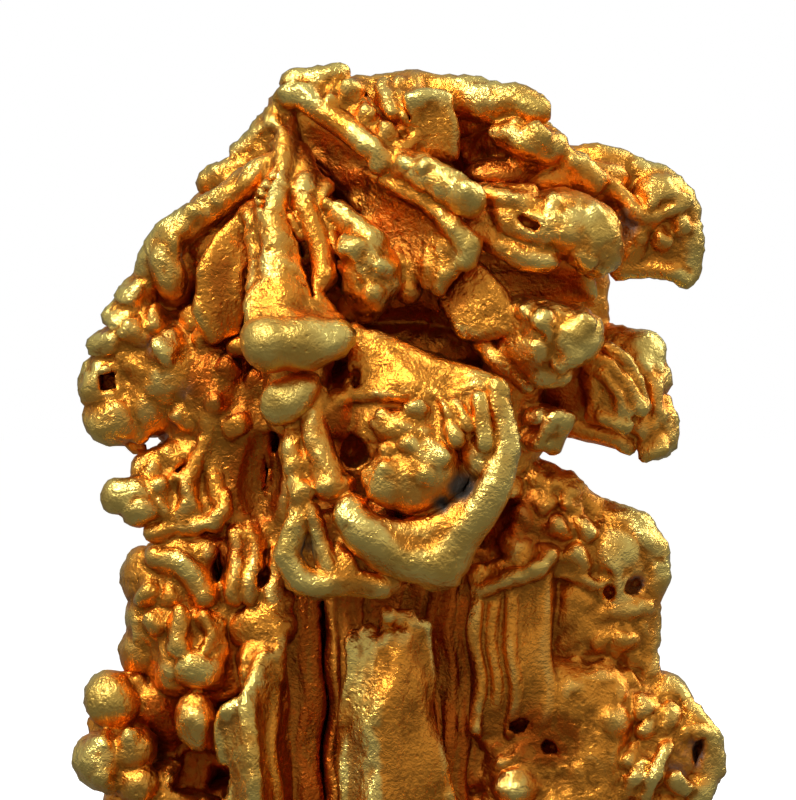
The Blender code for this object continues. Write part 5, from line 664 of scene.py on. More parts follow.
def growth(chance, x, y, z, radius, out_x, out_y):
    """One finger, lump or ridge that grows outwards at a place on the far side."""
    kind = chance.random()
    if kind < FINGER_SHARE:
        return rod((x - 0.9 * out_x, y - 0.9 * out_y, z - 0.25, radius * 0.8), (x, y, z + 0.2, radius))
    if kind < FINGER_OR_LUMP_SHARE:
        return lump(x - 0.2 * out_x, y - 0.2 * out_y, z, radius * 1.25)
    lean = chance.uniform(-0.5, 0.5)
    thin_radius = radius * 0.55
    return rod(
        (x - 0.25 * out_x, y - 0.25 * out_y, z + 0.75, thin_radius),
        (x + 0.5 * lean * out_y, y - 0.5 * lean * out_x, z, thin_radius * 1.3),
        (x + lean * out_y - 0.2 * out_x, y - lean * out_x - 0.2 * out_y, z - 0.75, thin_radius),
    )


def growths():
    """Rows of growths round the far side, one row to a level."""
    chance = random.Random(GROWTH_SEED)
    forms = []
    for level, left, right in LEVELS:
        half = (right - left) / 2
        number = round(half * GROWTHS_PER_MILLIMETRE)
        for step in range(number + 1):
            share = min(max((step + chance.uniform(-0.3, 0.3)) / number, 0.0), 1.0)
            radius = chance.uniform(*GROWTH_RADII)
            out_x = math.cos(math.pi * share)
            out_y = math.sin(math.pi * share)
            x = (left + right) / 2 + (half - radius) * out_x
            y = MIDDLE_DEPTH + (depth_at(level, FAR_DEPTH) - radius) * out_y
            z = level + chance.uniform(-GROWTH_SCATTER, GROWTH_SCATTER)
            forms.append(growth(chance, x, y, z, radius, out_x, out_y))
    return forms


def far_side():
    """Forms like the front's, turned half round, among rows of growths."""
    ribs = [turned(form) for form in FRONT_HEAD + ROOTS[3:9]]
    blades = [turned(form, rise=0.2) for form in BLADES]
    return ribs + blades + growths()


def solids():
    """Every form that adds to the nugget."""
    front = SUMMIT + RIGHT_HEAD + FRONT_HEAD + CURL + LEFT_HEAD + LEFT_BODY + BLADES + RIGHT_BODY
    return bulk() + FOOT + ROOTS + front + LOWER + far_side() + FAR_MASS


# ---------------------------------------------------------------- how the skin and its colours are set
# Amplitudes of the crinkled skin, in drawn millimetres.
SWELL = 0.045
MOUNDS = 0.065
RIDGES = 0.05
FACETS = 0.028
GRAIN = 0.016
# Frequency to a drawn millimetre, octaves and shift of each kind of crinkle.
SWELL_WAVES = (1.5, 2)
MOUND_WAVES = (2.1, 3, 2.0)
RIDGE_WAVES = (3.1, 3, 13.0)
GRAIN_WAVES = (8.0, 2, 9.0)
FACET_WAVES = (4.3, 4.0)
# How much finer each octave of noise is than the one before it.
OCTAVE_STEP = 2.03
# How much of the crinkle wear takes away.
WEAR = 0.6
# How much edges and creases are sharpened against the skin averaged this many times over, and the most
# that a crease is deepened and an edge raised.
SHARPEN = 1.1
SHARPEN_PASSES = 12
CREASE_LIMIT = 0.11
EDGE_LIMIT = 0.04
# How much of the crinkle a plain face keeps.
PLAIN_SHARE = 0.14
# How strongly corners on the far side are favoured when the mesh is thinned, the depth from which they
# count as hidden and the depth over which that grows, the least weight of a corner, and the steps between.
HIDDEN_THINNING = 0.003
HIDDEN_FROM = 0.2
HIDDEN_OVER = 1.2
LEAST_WEIGHT = 0.1
WEIGHT_STEPS = 10
# Grid on which the skin's hollows are worked out, in drawn millimetres.
GRID_PITCH = 0.2
GRID_MARGIN = 0.6
# How far before the skin its hollows are read, and over what reach for near and for far shelter.
AHEAD = 0.3
NEAR_REACH = 0.35
FAR_REACH = 0.9
# Share of gold round a point at which its shelter starts, near and far, and how much more makes it full.
NEAR_START = 0.08
FAR_START = 0.15
SHELTER_RANGE = 0.5
# Passes that level the skin, and the depth under that level of a full crease, in drawn millimetres.
LEVEL_PASSES = 6
CREASE_RANGE = 0.06
# How quickly plain, worn, painted-shade and lodged places come to their full, and how much painted shade adds
# to shelter.
PLAIN_GAIN = 2.5
WORN_GAIN = 1.6
PAINTED_SHADE_GAIN = 1.8
LODGED_GAIN = 1.6
PAINTED_SHADE_SHARE = 0.55

# Knobs and tips that are worn smooth: centre and reach along each axis.
WORN_SMOOTH = [
    (-2.7, -4.0, 11.75, 0.85, 0.6, 0.75), (-1.7, -4.0, 11.75, 0.85, 0.6, 0.65),
    (-2.2, -3.8, 10.65, 0.75, 0.6, 0.6), (1.35, -3.2, 14.62, 0.45, 0.5, 0.45),
    (1.3, -3.1, 13.6, 0.35, 0.4, 0.5), (4.0, -2.9, 14.1, 0.4, 0.5, 0.5), (3.6, -3.2, 11.8, 0.5, 0.5, 0.45),
    (2.6, -2.2, 16.5, 0.4, 0.4, 0.35), (-5.75, -1.8, 8.7, 0.45, 0.5, 0.4), (-5.9, -1.7, 4.5, 0.5, 0.5, 0.5),
    (5.0, -1.2, 11.5, 0.5, 0.5, 0.4),
]

# Plain faces with little crinkle: centre, reach along each axis, and painted tone from -1 (pale) to 1
# (orange), the painted reflection that each face shows.
FACES = [
    # head
    (-1.3, -1.4, 15.85, 1.2, 0.9, 1.0, 1.0), (0.1, -2.2, 14.3, 1.1, 0.9, 0.9, 0.6),
    (0.6, -2.0, 15.95, 0.5, 0.6, 0.55, 0.9), (2.1, -1.3, 15.6, 0.9, 0.7, 0.8, 1.0),
    (1.6, -2.6, 12.7, 0.9, 0.6, 0.8, 0.8), (-3.6, -2.1, 13.0, 0.6, 0.5, 1.3, 0.9),
    (-2.1, -3.3, 12.65, 0.95, 0.6, 0.5, 0.9), (-1.7, -2.6, 13.7, 0.3, 0.6, 1.2, 0.8),
    (2.8, -1.9, 13.2, 1.2, 0.6, 0.5, 1.0), (5.0, -1.5, 13.4, 0.9, 0.5, 0.35, 0.9),
    (4.2, -1.9, 10.9, 0.7, 0.6, 0.8, 0.3), (4.1, -1.3, 10.2, 0.8, 0.6, 0.5, 0.9),
    # curl
    (0.3, -3.4, 11.3, 1.7, 0.7, 0.65, 1.0), (0.2, -4.3, 7.55, 1.7, 0.6, 0.75, -0.7),
    (1.8, -4.3, 8.9, 0.65, 0.6, 1.4, -0.6), (-2.0, -4.0, 7.3, 0.7, 0.5, 0.85, -0.6),
    (0.3, -4.3, 9.2, 1.0, 0.5, 0.9, -0.3), (-1.2, -3.4, 10.3, 0.6, 0.6, 0.5, 0.8),
    # left side
    (-3.1, -2.0, 9.4, 0.9, 0.8, 1.3, 1.0), (-4.4, -2.2, 7.2, 0.7, 0.5, 0.5, -0.3),
    (-2.75, -2.3, 6.1, 0.6, 0.5, 0.5, 0.7), (-3.9, -2.2, 11.3, 0.9, 0.5, 0.8, 0.5),
    (-4.2, -2.4, 5.2, 0.6, 0.5, 0.5, -0.4),
    # blades and wall
    (-3.35, -2.75, 3.0, 0.4, 0.6, 2.0, -0.8), (-2.8, -2.75, 3.4, 0.32, 0.4, 1.6, 0.3),
    (-2.4, -2.3, 3.6, 0.4, 0.7, 2.4, 1.0), (-0.75, -2.9, 4.6, 0.4, 0.6, 1.5, -0.7),
    (-0.95, -2.8, 2.7, 0.35, 0.5, 1.4, -0.8), (0.2, -2.9, 3.8, 0.75, 0.8, 2.6, 1.0),
    (-2.0, -1.95, 4.3, 0.6, 0.5, 3.0, 1.0), (-1.1, -1.95, 4.5, 0.5, 0.5, 2.8, 1.0),
    (1.1, -1.8, 5.0, 0.6, 0.6, 2.6, 1.0), (1.9, -2.0, 5.6, 0.5, 0.5, 1.7, 0.2),
    (2.75, -2.0, 5.6, 0.7, 0.6, 1.6, 0.3),
    # right side
    (0.25, -3.0, 5.2, 0.4, 0.6, 1.3, 0.5), (4.4, -1.8, 7.75, 0.75, 0.6, 0.6, -0.3),
    (3.3, -1.7, 7.2, 0.7, 0.6, 0.5, 0.2), (-3.95, -1.9, 9.2, 0.35, 0.5, 0.7, 0.5),
]

# Flutes and streaks: low corner, high corner, direction across them, spacing and depth.
FLUTED = [
    ((0.5, -2.2, 3.0), (1.5, -0.5, 7.1), (1.0, 0.0, 0.02), 0.36, 0.05),
    ((1.6, -2.3, 4.0), (3.1, -0.5, 7.0), (1.0, 0.0, 0.02), 0.31, 0.014),
    ((-2.4, -2.2, 1.6), (-0.8, -0.5, 6.6), (1.0, 0.0, -0.02), 0.34, 0.03),
    ((-1.0, -3.2, 12.9), (1.2, -1.2, 15.2), (0.72, 0.0, 0.69), 0.3, 0.018),
    ((-2.2, -1.9, 15.2), (-0.4, -0.9, 16.5), (0.75, 0.0, 0.66), 0.3, 0.014),
    ((-3.5, -3.2, 1.4), (-2.4, -2.2, 6.5), (0.97, 0.0, 0.2), 0.3, 0.014),
    ((-1.1, -3.3, 1.6), (0.9, -2.2, 6.2), (0.97, 0.0, -0.18), 0.34, 0.014),
    ((-0.9, -3.9, 10.6), (2.0, -2.9, 12.1), (0.4, 0.0, 0.92), 0.34, 0.014),
    ((1.3, -2.9, 12.0), (2.5, -2.2, 13.3), (0.6, 0.0, 0.8), 0.26, 0.014),
    ((3.9, -2.2, 10.2), (4.7, -1.2, 11.5), (0.85, 0.0, 0.5), 0.2, 0.035),
]

# Places where clay lodges, and after them those where quartz does: centre and reach.
CLAYEY = [
    (4.8, -1.7, 6.9, 0.28), (6.0, -1.6, 3.5, 0.4), (5.6, -1.5, 3.2, 0.3), (4.6, -1.6, 14.15, 0.35),
    (5.9, -1.2, 13.9, 0.3), (-0.25, -3.1, 5.2, 0.4), (1.6, -3.8, 10.95, 0.35), (-5.0, -2.0, 11.7, 0.25),
    (-4.4, -2.1, 10.8, 0.2), (-4.3, -2.0, 13.5, 0.25),
]
QUARTZY = [(1.25, -4.1, 8.85, 0.36), (0.85, -4.1, 8.5, 0.22), (-1.85, -3.9, 7.65, 0.27)]

# Sheltered places where shade is painted dark: centre and reach along each axis.
PAINTED_SHADE_PLACES = [
    (-3.5, -1.9, 11.0, 1.0, 0.9, 1.0), (-2.9, -2.0, 9.1, 0.75, 0.9, 1.2), (2.1, -1.5, 15.1, 1.1, 0.9, 0.8),
    (3.0, -1.7, 13.05, 1.1, 0.8, 0.4), (0.8, -2.2, 12.6, 1.0, 1.2, 0.8), (2.7, -1.6, 8.1, 1.0, 0.8, 0.7),
    (1.1, -1.8, 4.6, 0.6, 0.8, 2.8), (2.7, -1.8, 3.9, 1.3, 0.8, 0.8), (-2.0, -2.0, 4.3, 0.7, 0.8, 3.2),
    (-4.9, -1.5, 4.2, 0.5, 0.8, 0.6), (3.3, -1.4, 10.7, 0.7, 0.8, 0.5), (-1.3, -1.5, 15.6, 1.1, 0.9, 1.0),
    (0.2, -2.1, 14.0, 1.0, 0.9, 0.9), (-3.7, -2.0, 12.9, 0.5, 0.6, 1.2), (-1.2, -3.3, 9.9, 0.5, 0.8, 0.9),
    (-4.6, -1.6, 5.7, 0.5, 0.5, 0.5), (0.7, -1.4, 16.0, 0.5, 0.6, 0.5), (-3.4, -1.9, 7.5, 0.8, 0.6, 0.5),
]

# Colours.
WORN_GOLD = (0.95, 0.74, 0.21, 1.0)
GREEN_GOLD = (0.78, 0.51, 0.11, 1.0)
# Orange gold: painted shade in hollows and creases and painted reflection on faces listed orange, mixed with
# random orange patches.
ORANGE_GOLD_AND_SHADE = (0.95, 0.375, 0.045, 1.0)
# Painted shade: brown where the skin lies deep in shelter and in creases.
SHADE_BROWN_GOLD = (0.54, 0.125, 0.012, 1.0)
# Real stains from noise, darkened further in creases as painted shade.
STAIN_AND_SHADE_GOLD = (0.46, 0.17, 0.02, 1.0)
CLAY = (0.24, 0.13, 0.09, 1.0)
QUARTZ = (0.10, 0.085, 0.07, 1.0)
# What decides each colour: the masks' weights, and where their sum starts to show and shows fully.
ORANGE_AND_SHADE_WEIGHTS = {"patches": 0.6, "crease": 0.35, "worn": -0.35, "painted_tone": 0.7}
ORANGE_AND_SHADE_SPAN = (0.66, 1.12)
SHADE_BROWN_WEIGHTS = {"crease": 0.25}
SHADE_BROWN_SPAN = (0.58, 1.02)
STAIN_AND_SHADE_WEIGHTS = {"crease": 0.4, "worn": -0.12}
STAIN_AND_SHADE_SPAN = (0.62, 0.80)
STAIN_AND_SHADE_MOST = 0.7
PATCH_SPAN = (0.35, 0.65)
# Clay shows where the relief is high, and clay and quartz only where the skin is hollow.
BROKEN_SPAN = (0.5, 0.75)
LODGING_SPAN = (0.25, 0.6)
# The polished skin's roughness, its relief, and what the masks add to them; the depth is in metres.
ROUGHNESS = 0.145
ROUGHNESS_WEIGHTS = {"patches": 0.18, "hollow": 0.12, "worn": 0.1, "clay": 0.4}
RELIEF_STRENGTH = 0.9
RELIEF_WEIGHTS = {"worn": -0.15}
RELIEF_DEPTH = 0.00005
# Noise of the pimples, the grain, the patches and the stains: detail, roughness and distortion, after a
# scale to the metre for the last two.
PIMPLE_NOISE = (4.0, 0.62, 0.6)
GRAIN_NOISE = (2.0,)
PATCH_NOISE = (900.0, 2.0)
STAIN_NOISE = (2400.0, 6.0, 0.7, 0.5)
GRAIN_VALUES = {"Pimple Scale": 5200.0, "Grain Scale": 17000.0, "Pit Share": 0.3}

# Light and floor.
WHITE = (1.0, 1.0, 1.0, 1.0)
FRONT_DARK = (0.50, 0.46, 0.41, 1.0)
BACK_DIM = (0.30, 0.30, 0.29, 1.0)
OVERHEAD_LIGHT = (0.52, 0.52, 0.50, 1.0)
OVERHEAD_SPAN = (0.35, 0.85)
BEHIND_SPAN = (-0.3, 0.7)
# Each softbox: its name, place, width, height and power, and the point that they all face.
SOFTBOXES = [
    ("key", (-0.25, -0.25, 0.45), 0.18, 0.13, 1.75),
    ("rim", (0.35, 0.15, 0.30), 0.12, 0.3, 0.8),
]
LIT_POINT = (0.0, 0.0, 0.01)
FLOOR_HALF_WIDTH = 6.0
FLOOR_SEEN = (0.9, 0.9, 0.9, 1.0)
FLOOR_REFLECTED = (0.16, 0.155, 0.15, 1.0)
FLOOR_GLOW = 0.6

# Camera: its distance and the frame's height at the nugget, in metres, the sensor in millimetres, and
# the drawn point that it looks at.
CAMERA_DISTANCE = 0.5
FRAME_HEIGHT = 0.016
SENSOR = 36.0
FRAME_CENTRE = (-0.04, -1.5, 10.6)


# ---------------------------------------------------------------- noise
LATTICE_SIZE = 32
LATTICE = np.random.default_rng(11).uniform(-1.0, 1.0, (LATTICE_SIZE,) * 3).astype(np.float32)


def soft_noise(points, frequency, shift=0.0):
    """Smooth noise from -1 to 1 at points, from a lattice of random values."""
    place = points * frequency + shift
    cell = np.floor(place).astype(np.int64)
    share = (place - cell).astype(np.float32)
    fade = share * share * share * (share * (share * 6.0 - 15.0) + 10.0)
    total = np.zeros(len(points), dtype=np.float32)
    for corner in range(8):
        step = np.array([corner & 1, corner >> 1 & 1, corner >> 2 & 1])
        index = (cell + step) % LATTICE_SIZE
        weight = np.where(step == 1, fade, 1.0 - fade).prod(axis=1)
        total += weight * LATTICE[index[:, 0], index[:, 1], index[:, 2]]
    return total


def rough_noise(points, frequency, octaves, shift=0.0):
    """Several octaves of smooth noise."""
    total = np.zeros(len(points), dtype=np.float32)
    weight = 1.0
    for octave in range(octaves):
        total += weight * soft_noise(points, frequency * OCTAVE_STEP ** octave, shift + 7.3 * octave)
        weight *= 0.5
    return total


def folded_noise(points, frequency, octaves, shift=0.0):
    """Noise with soft mounds between sharp creases, from 0 in a crease to 1 on a mound."""
    total = np.zeros(len(points), dtype=np.float32)
    weight = 0.5
    for octave in range(octaves):
        total += weight * np.abs(soft_noise(points, frequency * OCTAVE_STEP ** octave, shift + 5.1 * octave))
        weight *= 0.5
    return np.clip(total * 2.2, 0.0, 1.0)


# Where each cell's facet is centred and how it is tilted.
SEED_SHIFT = np.stack((LATTICE, LATTICE.transpose(1, 2, 0), LATTICE.transpose(2, 0, 1)), axis=-1)
FACET_TILT = SEED_SHIFT[::-1, ::-1, :, ::-1]


def facet_noise(points, frequency, shift=0.0):
    """Noise of tilted facets that meet in creases, from about -1 to 1."""
    place = (points * frequency + shift).astype(np.float32)
    cell = np.floor(place).astype(np.int64)
    highest = np.full(len(points), -9.0, dtype=np.float32)
    for step in np.ndindex(3, 3, 3):
        chosen = cell + step - 1
        x, y, z = (chosen % LATTICE_SIZE).T
        offset = place - chosen - 0.5 - 0.45 * SEED_SHIFT[x, y, z]
        height = (offset * (FACET_TILT[x, y, z] - 0.8 * offset)).sum(axis=1) + 0.5 * LATTICE[z, x, y]
        highest = np.maximum(highest, height)
    return highest


# ---------------------------------------------------------------- reading and moving a mesh's corners
def corners_of(thing):
    """The corners of a mesh as an array."""
    flat = np.empty(len(thing.data.vertices) * 3, dtype=np.float32)
    thing.data.vertices.foreach_get("co", flat)
    return flat.reshape(-1, 3)


def normals_of(thing):
    """The normals at the corners of a mesh as an array."""
    flat = np.empty(len(thing.data.vertices) * 3, dtype=np.float32)
    thing.data.vertex_normals.foreach_get("vector", flat)
    return flat.reshape(-1, 3)


def edges_of(thing):
    """The pairs of corners that the edges of a mesh join."""
    flat = np.empty(len(thing.data.edges) * 2, dtype=np.int32)
    thing.data.edges.foreach_get("vertices", flat)
    return flat.reshape(-1, 2)


def put_corners(thing, corners):
    """Give a mesh's corners new places."""
    thing.data.vertices.foreach_set("co", np.ascontiguousarray(corners, dtype=np.float32).ravel())
    thing.data.update()


def spread(values, edges, passes):
    """Average values over neighbouring corners several times."""
    number = len(values)
    start, end = edges[:, 0], edges[:, 1]
    neighbours = np.bincount(start, minlength=number) + np.bincount(end, minlength=number)
    columns = values.reshape(number, -1).astype(np.float64)
    for _ in range(passes):
        mixed = np.empty_like(columns)
        for column in range(columns.shape[1]):
            given = columns[:, column]
            gathered = np.bincount(start, given[end], number) + np.bincount(end, given[start], number)
            mixed[:, column] = gathered / np.maximum(neighbours, 1)
        columns = 0.5 * columns + 0.5 * mixed
    return columns.reshape(values.shape)


def nearness(points, centre, reach):
    """1 at a centre, falling softly to 0 at its reach; both are given for each axis."""
    offset = (points - np.array(centre)) / np.array(reach)
    return np.clip(1.0 - (offset * offset).sum(axis=1), 0.0, 1.0)


def within(points, low, high, soften=0.25):
    """1 inside a box given by its low and high corners, falling softly to 0 outside it."""
    outside = np.maximum(np.array(low) - points, points - np.array(high))
    furthest = np.maximum(outside, 0.0).max(axis=1)
    return np.clip(1.0 - furthest / soften, 0.0, 1.0)


# ---------------------------------------------------------------- shapes from forms
def add_shell(target, shell):
    """Add one closed shell to the mesh that gathers them all."""
    piece = bpy.data.meshes.new("form")
    shell.to_mesh(piece)
    target.from_mesh(piece)
    bpy.data.meshes.remove(piece)
    shell.free()


def ball_directions(fineness):
    """Directions to the corners of a unit icosphere."""
    ball = bmesh.new()
    bmesh.ops.create_icosphere(ball, subdivisions=fineness, radius=1.0)
    directions = [corner.co.copy() for corner in ball.verts]
    ball.free()
    return directions


def add_hull(target, balls, directions):
    """Wrap a convex hull round balls given as (x, y, z, radius)."""
    shell = bmesh.new()
    for x, y, z, radius in balls:
        for direction in directions:
            shell.verts.new(Vector((x, y, z)) + radius * direction)
    hull = bmesh.ops.convex_hull(shell, input=shell.verts)
    inside = hull["geom_interior"] + hull["geom_unused"]
    spare = {item for item in inside if isinstance(item, bmesh.types.BMVert)}
    bmesh.ops.delete(shell, geom=list(spare), context="VERTS")
    add_shell(target, shell)


def add_knob(target, centre, half_sizes, tilt):
    """An ellipsoid from a sphere primitive, finer where it is large."""
    shell = bmesh.new()
    turn = Euler([math.radians(angle) for angle in tilt])
    place = Matrix.LocRotScale(Vector(centre), turn, Vector(half_sizes))
    fineness = 5 if max(half_sizes) > LARGE_KNOB else 4
    bmesh.ops.create_icosphere(shell, subdivisions=fineness, radius=1.0, matrix=place)
    add_shell(target, shell)


def add_block(target, centre, half_sizes, tilt, edge):
    """A box primitive with its edges bevelled round."""
    shell = bmesh.new()
    bmesh.ops.create_cube(shell, size=2.0, matrix=Matrix.Diagonal(Vector(half_sizes)).to_4x4())
    bmesh.ops.bevel(
        shell, geom=list(shell.edges), offset=edge, segments=BLOCK_EDGE_STEPS, affect="EDGES", profile=0.5
    )
    turn = Euler([math.radians(angle) for angle in tilt]).to_matrix().to_4x4()
    bmesh.ops.transform(shell, matrix=Matrix.Translation(centre) @ turn, verts=shell.verts)
    add_shell(target, shell)


def add_form(target, form, directions):
    """Add the shells of one form."""
    kind = form[0]
    if kind == "rod":
        for start, end in zip(form[1], form[1][1:]):
            add_hull(target, (start, end), directions)
    elif kind == "plate":
        corners = form[1]
        for second, third in zip(corners[1:], corners[2:]):
            add_hull(target, (corners[0], second, third), directions)
    elif kind == "knob":
        add_knob(target, form[1], form[2], form[3])
    else:
        add_block(target, form[1], form[2], form[3], form[4])


def form_object(name, forms):
    """One object that holds the overlapping shells of all the forms."""
    gathered = bmesh.new()
    directions = ball_directions(3)
    for form in forms:
        add_form(gathered, form, directions)
    mesh = bpy.data.meshes.new(name)
    gathered.to_mesh(mesh)
    gathered.free()
    made = bpy.data.objects.new(name, mesh)
    bpy.context.scene.collection.objects.link(made)
    return made


# ---------------------------------------------------------------- working on the nugget's mesh
def settle_modifiers(thing):
    """Turn what the modifiers make into the object's own mesh."""
    bpy.context.view_layer.update()
    evaluated = thing.evaluated_get(bpy.context.evaluated_depsgraph_get())
    made = bpy.data.meshes.new_from_object(evaluated)
    thing.modifiers.clear()
    before = thing.data
    thing.data = made
    bpy.data.meshes.remove(before)


def fuse(thing, voxel, smooth_passes):
    """Fuse overlapping shells into one skin and soften the joints between them."""
    remesh = thing.modifiers.new("fuse", "REMESH")
    remesh.mode = "VOXEL"
    remesh.voxel_size = voxel
    if smooth_passes:
        soften = thing.modifiers.new("soften", "SMOOTH")
        soften.factor = 0.5
        soften.iterations = smooth_passes
    settle_modifiers(thing)


def cut_pits(thing, pits):
    """Take the pits, slots and grooves out of the nugget."""
    cut = thing.modifiers.new("pits", "BOOLEAN")
    cut.operation = "DIFFERENCE"
    cut.solver = "EXACT"
    cut.object = pits
    settle_modifiers(thing)


def keep_largest_body(thing):
    """Drop the small loose shells that fusing can leave inside."""
    edges = edges_of(thing)
    body = np.arange(len(thing.data.vertices))
    while True:
        lowest = body.copy()
        np.minimum.at(lowest, edges[:, 0], body[edges[:, 1]])
        np.minimum.at(lowest, edges[:, 1], body[edges[:, 0]])
        lowest = lowest[lowest]
        if (lowest == body).all():
            break
        body = lowest
    largest = np.bincount(body).argmax()
    if (body == largest).all():
        return
    skin = bmesh.new()
    skin.from_mesh(thing.data)
    spare = [corner for corner in skin.verts if body[corner.index] != largest]
    bmesh.ops.delete(skin, geom=spare, context="VERTS")
    skin.to_mesh(thing.data)
    skin.free()


def wander(points):
    """The small shift that keeps edges and faces from being ruled."""
    x, y, z = points[:, 0], points[:, 1], points[:, 2]
    long_shift = np.stack((
        np.sin(1.9 * y + 2.3 * z + 0.6),
        np.sin(2.1 * z + 1.7 * x + 2.0),
        np.sin(2.2 * x + 1.8 * y + 4.0),
    ), axis=1)
    short_shift = np.stack((
        np.sin(4.1 * z - 2.2 * y + 1.1 * x),
        np.sin(3.7 * x - 3.1 * z),
        np.sin(4.3 * x + 2.6 * y - 1.3 * z),
    ), axis=1)
    return LONG_WANDER * long_shift + SHORT_WANDER * short_shift


def reached(points, places):
    """How near each point is to the nearest of some places, from 1 at a centre to 0 past every reach."""
    share = np.zeros(len(points))
    for x, y, z, reach_x, reach_y, reach_z in places:
        share = np.maximum(share, nearness(points, (x, y, z), (reach_x, reach_y, reach_z)))
    return share


def worn_smooth(points):
    """How far each point lies on a knob or tip that is worn smooth."""
    return np.clip(WORN_GAIN * reached(points, WORN_SMOOTH), 0.0, 1.0)


def in_painted_shade(points):
    """How far each point lies in a sheltered place where shade is painted dark."""
    return np.clip(PAINTED_SHADE_GAIN * reached(points, PAINTED_SHADE_PLACES), 0.0, 1.0)


def fluting(points):
    """How far the flutes and streaks raise or lower each point, in drawn millimetres."""
    raised = np.zeros(len(points))
    for low, high, across, spacing, depth in FLUTED:
        across = np.array(across) / np.linalg.norm(across)
        phase = points @ across + 0.25 * spacing * soft_noise(points * (1.0, 1.0, 0.5), 1.6, 3.0)
        wave = np.sin(phase * 2.0 * math.pi / spacing)
        second = np.sin(phase * 2.0 * math.pi / (spacing * 0.43) + 1.0)
        raised += within(points, low, high) * depth * (0.7 * np.abs(wave) - 0.35 + 0.15 * second)
    return raised


def plain_and_painted_tone(points):
    """How plain the faces at points are, from 0 to 1, and their painted reflection tone from -1 to 1."""
    plain = np.zeros(len(points))
    painted_tone = np.zeros(len(points))
    for x, y, z, reach_x, reach_y, reach_z, face_painted_tone in FACES:
        share = np.clip(nearness(points, (x, y, z), (reach_x, reach_y, reach_z)) * PLAIN_GAIN, 0.0, 1.0)
        painted_tone += np.where(share > plain, share - plain, 0.0) * (face_painted_tone - painted_tone)
        plain = np.maximum(plain, share)
    return plain, painted_tone


def crinkle(points, worn, plain):
    """How far the crinkled skin rises or falls at each point, in drawn millimetres."""
    swell = SWELL * rough_noise(points, *SWELL_WAVES)
    mounds = MOUNDS * (folded_noise(points, *MOUND_WAVES) - 0.5)
    ridges = RIDGES * (0.45 - folded_noise(points, *RIDGE_WAVES))
    mostly_ridges = np.clip(0.6 + 2.5 * soft_noise(points, 0.8, 6.0), 0.0, 1.0)
    relief = mounds + mostly_ridges * (ridges - mounds) + FACETS * facet_noise(points, *FACET_WAVES)
    grain = GRAIN * rough_noise(points, *GRAIN_WAVES)
    kept = (1.0 - WEAR * worn) * (1.0 - (1.0 - PLAIN_SHARE) * plain)
    return kept * (swell + relief + grain) + worn * 0.4 * SWELL * soft_noise(points, 1.2, 4.0)


def texture_skin(thing):
    """Bend the skin, sharpen its creases, and flute and crinkle it along its normals."""
    corners = corners_of(thing).astype(np.float64)
    normals = normals_of(thing)
    worn = worn_smooth(corners)
    plain, _ = plain_and_painted_tone(corners)
    proud = ((corners - spread(corners, edges_of(thing), SHARPEN_PASSES)) * normals).sum(axis=1)
    raised = FILL_OUT + np.clip(SHARPEN * proud, -CREASE_LIMIT, EDGE_LIMIT)
    raised += crinkle(corners, worn, plain) + fluting(corners) * (1.0 - worn)
    shifted = corners + wander(corners) + normals * raised[:, None]
    put_corners(thing, shifted)


def thin(thing, triangles):
    """Collapse edges until about this many triangles are left, most of them on the shown side."""
    present = sum(len(face.vertices) - 2 for face in thing.data.polygons)
    corners = corners_of(thing)
    hidden = np.clip((corners[:, 1] - HIDDEN_FROM) / HIDDEN_OVER, LEAST_WEIGHT, 1.0)
    group = thing.vertex_groups.new(name="hidden")
    for step in range(1, WEIGHT_STEPS + 1):
        chosen = np.nonzero(np.round(hidden * WEIGHT_STEPS) == step)[0]
        group.add(chosen.tolist(), step / WEIGHT_STEPS, "REPLACE")
    decimate = thing.modifiers.new("thin", "DECIMATE")
    decimate.ratio = min(1.0, triangles / present)
    decimate.use_collapse_triangulate = True
    decimate.vertex_group = "hidden"
    decimate.vertex_group_factor = HIDDEN_THINNING
    settle_modifiers(thing)
    thing.vertex_groups.clear()


def cut_foot(thing):
    """Cut the lower end off flat and close it, so that the nugget can stand."""
    skin = bmesh.new()
    skin.from_mesh(thing.data)
    for corner in skin.verts:
        if abs(corner.co.z - FOOT_LEVEL) < FOOT_SNAP:
            corner.co.z = FOOT_LEVEL
    everything = list(skin.verts) + list(skin.edges) + list(skin.faces)
    bmesh.ops.bisect_plane(
        skin, geom=everything, dist=FOOT_SNAP * 0.01, plane_co=(0.0, 0.0, FOOT_LEVEL),
        plane_no=(0.0, 0.0, 1.0), clear_inner=True,
    )
    rim = [edge for edge in skin.edges if edge.is_boundary]
    sole = bmesh.ops.holes_fill(skin, edges=rim, sides=0)["faces"]
    bmesh.ops.triangulate(skin, faces=sole)
    bmesh.ops.recalc_face_normals(skin, faces=skin.faces)
    skin.to_mesh(thing.data)
    skin.free()


def fit_to_solid(thing):
    """Set the drawn skin into the solid nugget's box, in metres."""
    solid_low, solid_high = np.array(SOLID_BOX[0]), np.array(SOLID_BOX[1])
    corners = corners_of(thing).astype(np.float64)
    low, high = corners.min(axis=0), corners.max(axis=0)
    share = (solid_high - solid_low) / (high - low)
    put_corners(thing, solid_low + (corners - low) * share)
    return lambda point: solid_low + (point - low) * share


# ---------------------------------------------------------------- what the skin's colour follows
def solid_share(tree, low, high):
    """A grid over the nugget that is 1 inside it and 0 outside it, with a margin round it."""
    start = low - GRID_MARGIN
    counts = np.ceil((high - low + 2.0 * GRID_MARGIN) / GRID_PITCH).astype(int)
    grid = np.zeros(counts, dtype=np.float32)
    for x, y, z in np.ndindex(*counts):
        point = Vector(start + GRID_PITCH * np.array((x, y, z)))
        place, normal, _, distance = tree.find_nearest(point)
        side = -1.0 if (point - place).dot(normal) < 0.0 else 1.0
        grid[x, y, z] = min(max(0.5 - side * distance / GRID_PITCH, 0.0), 1.0)
    return start, grid


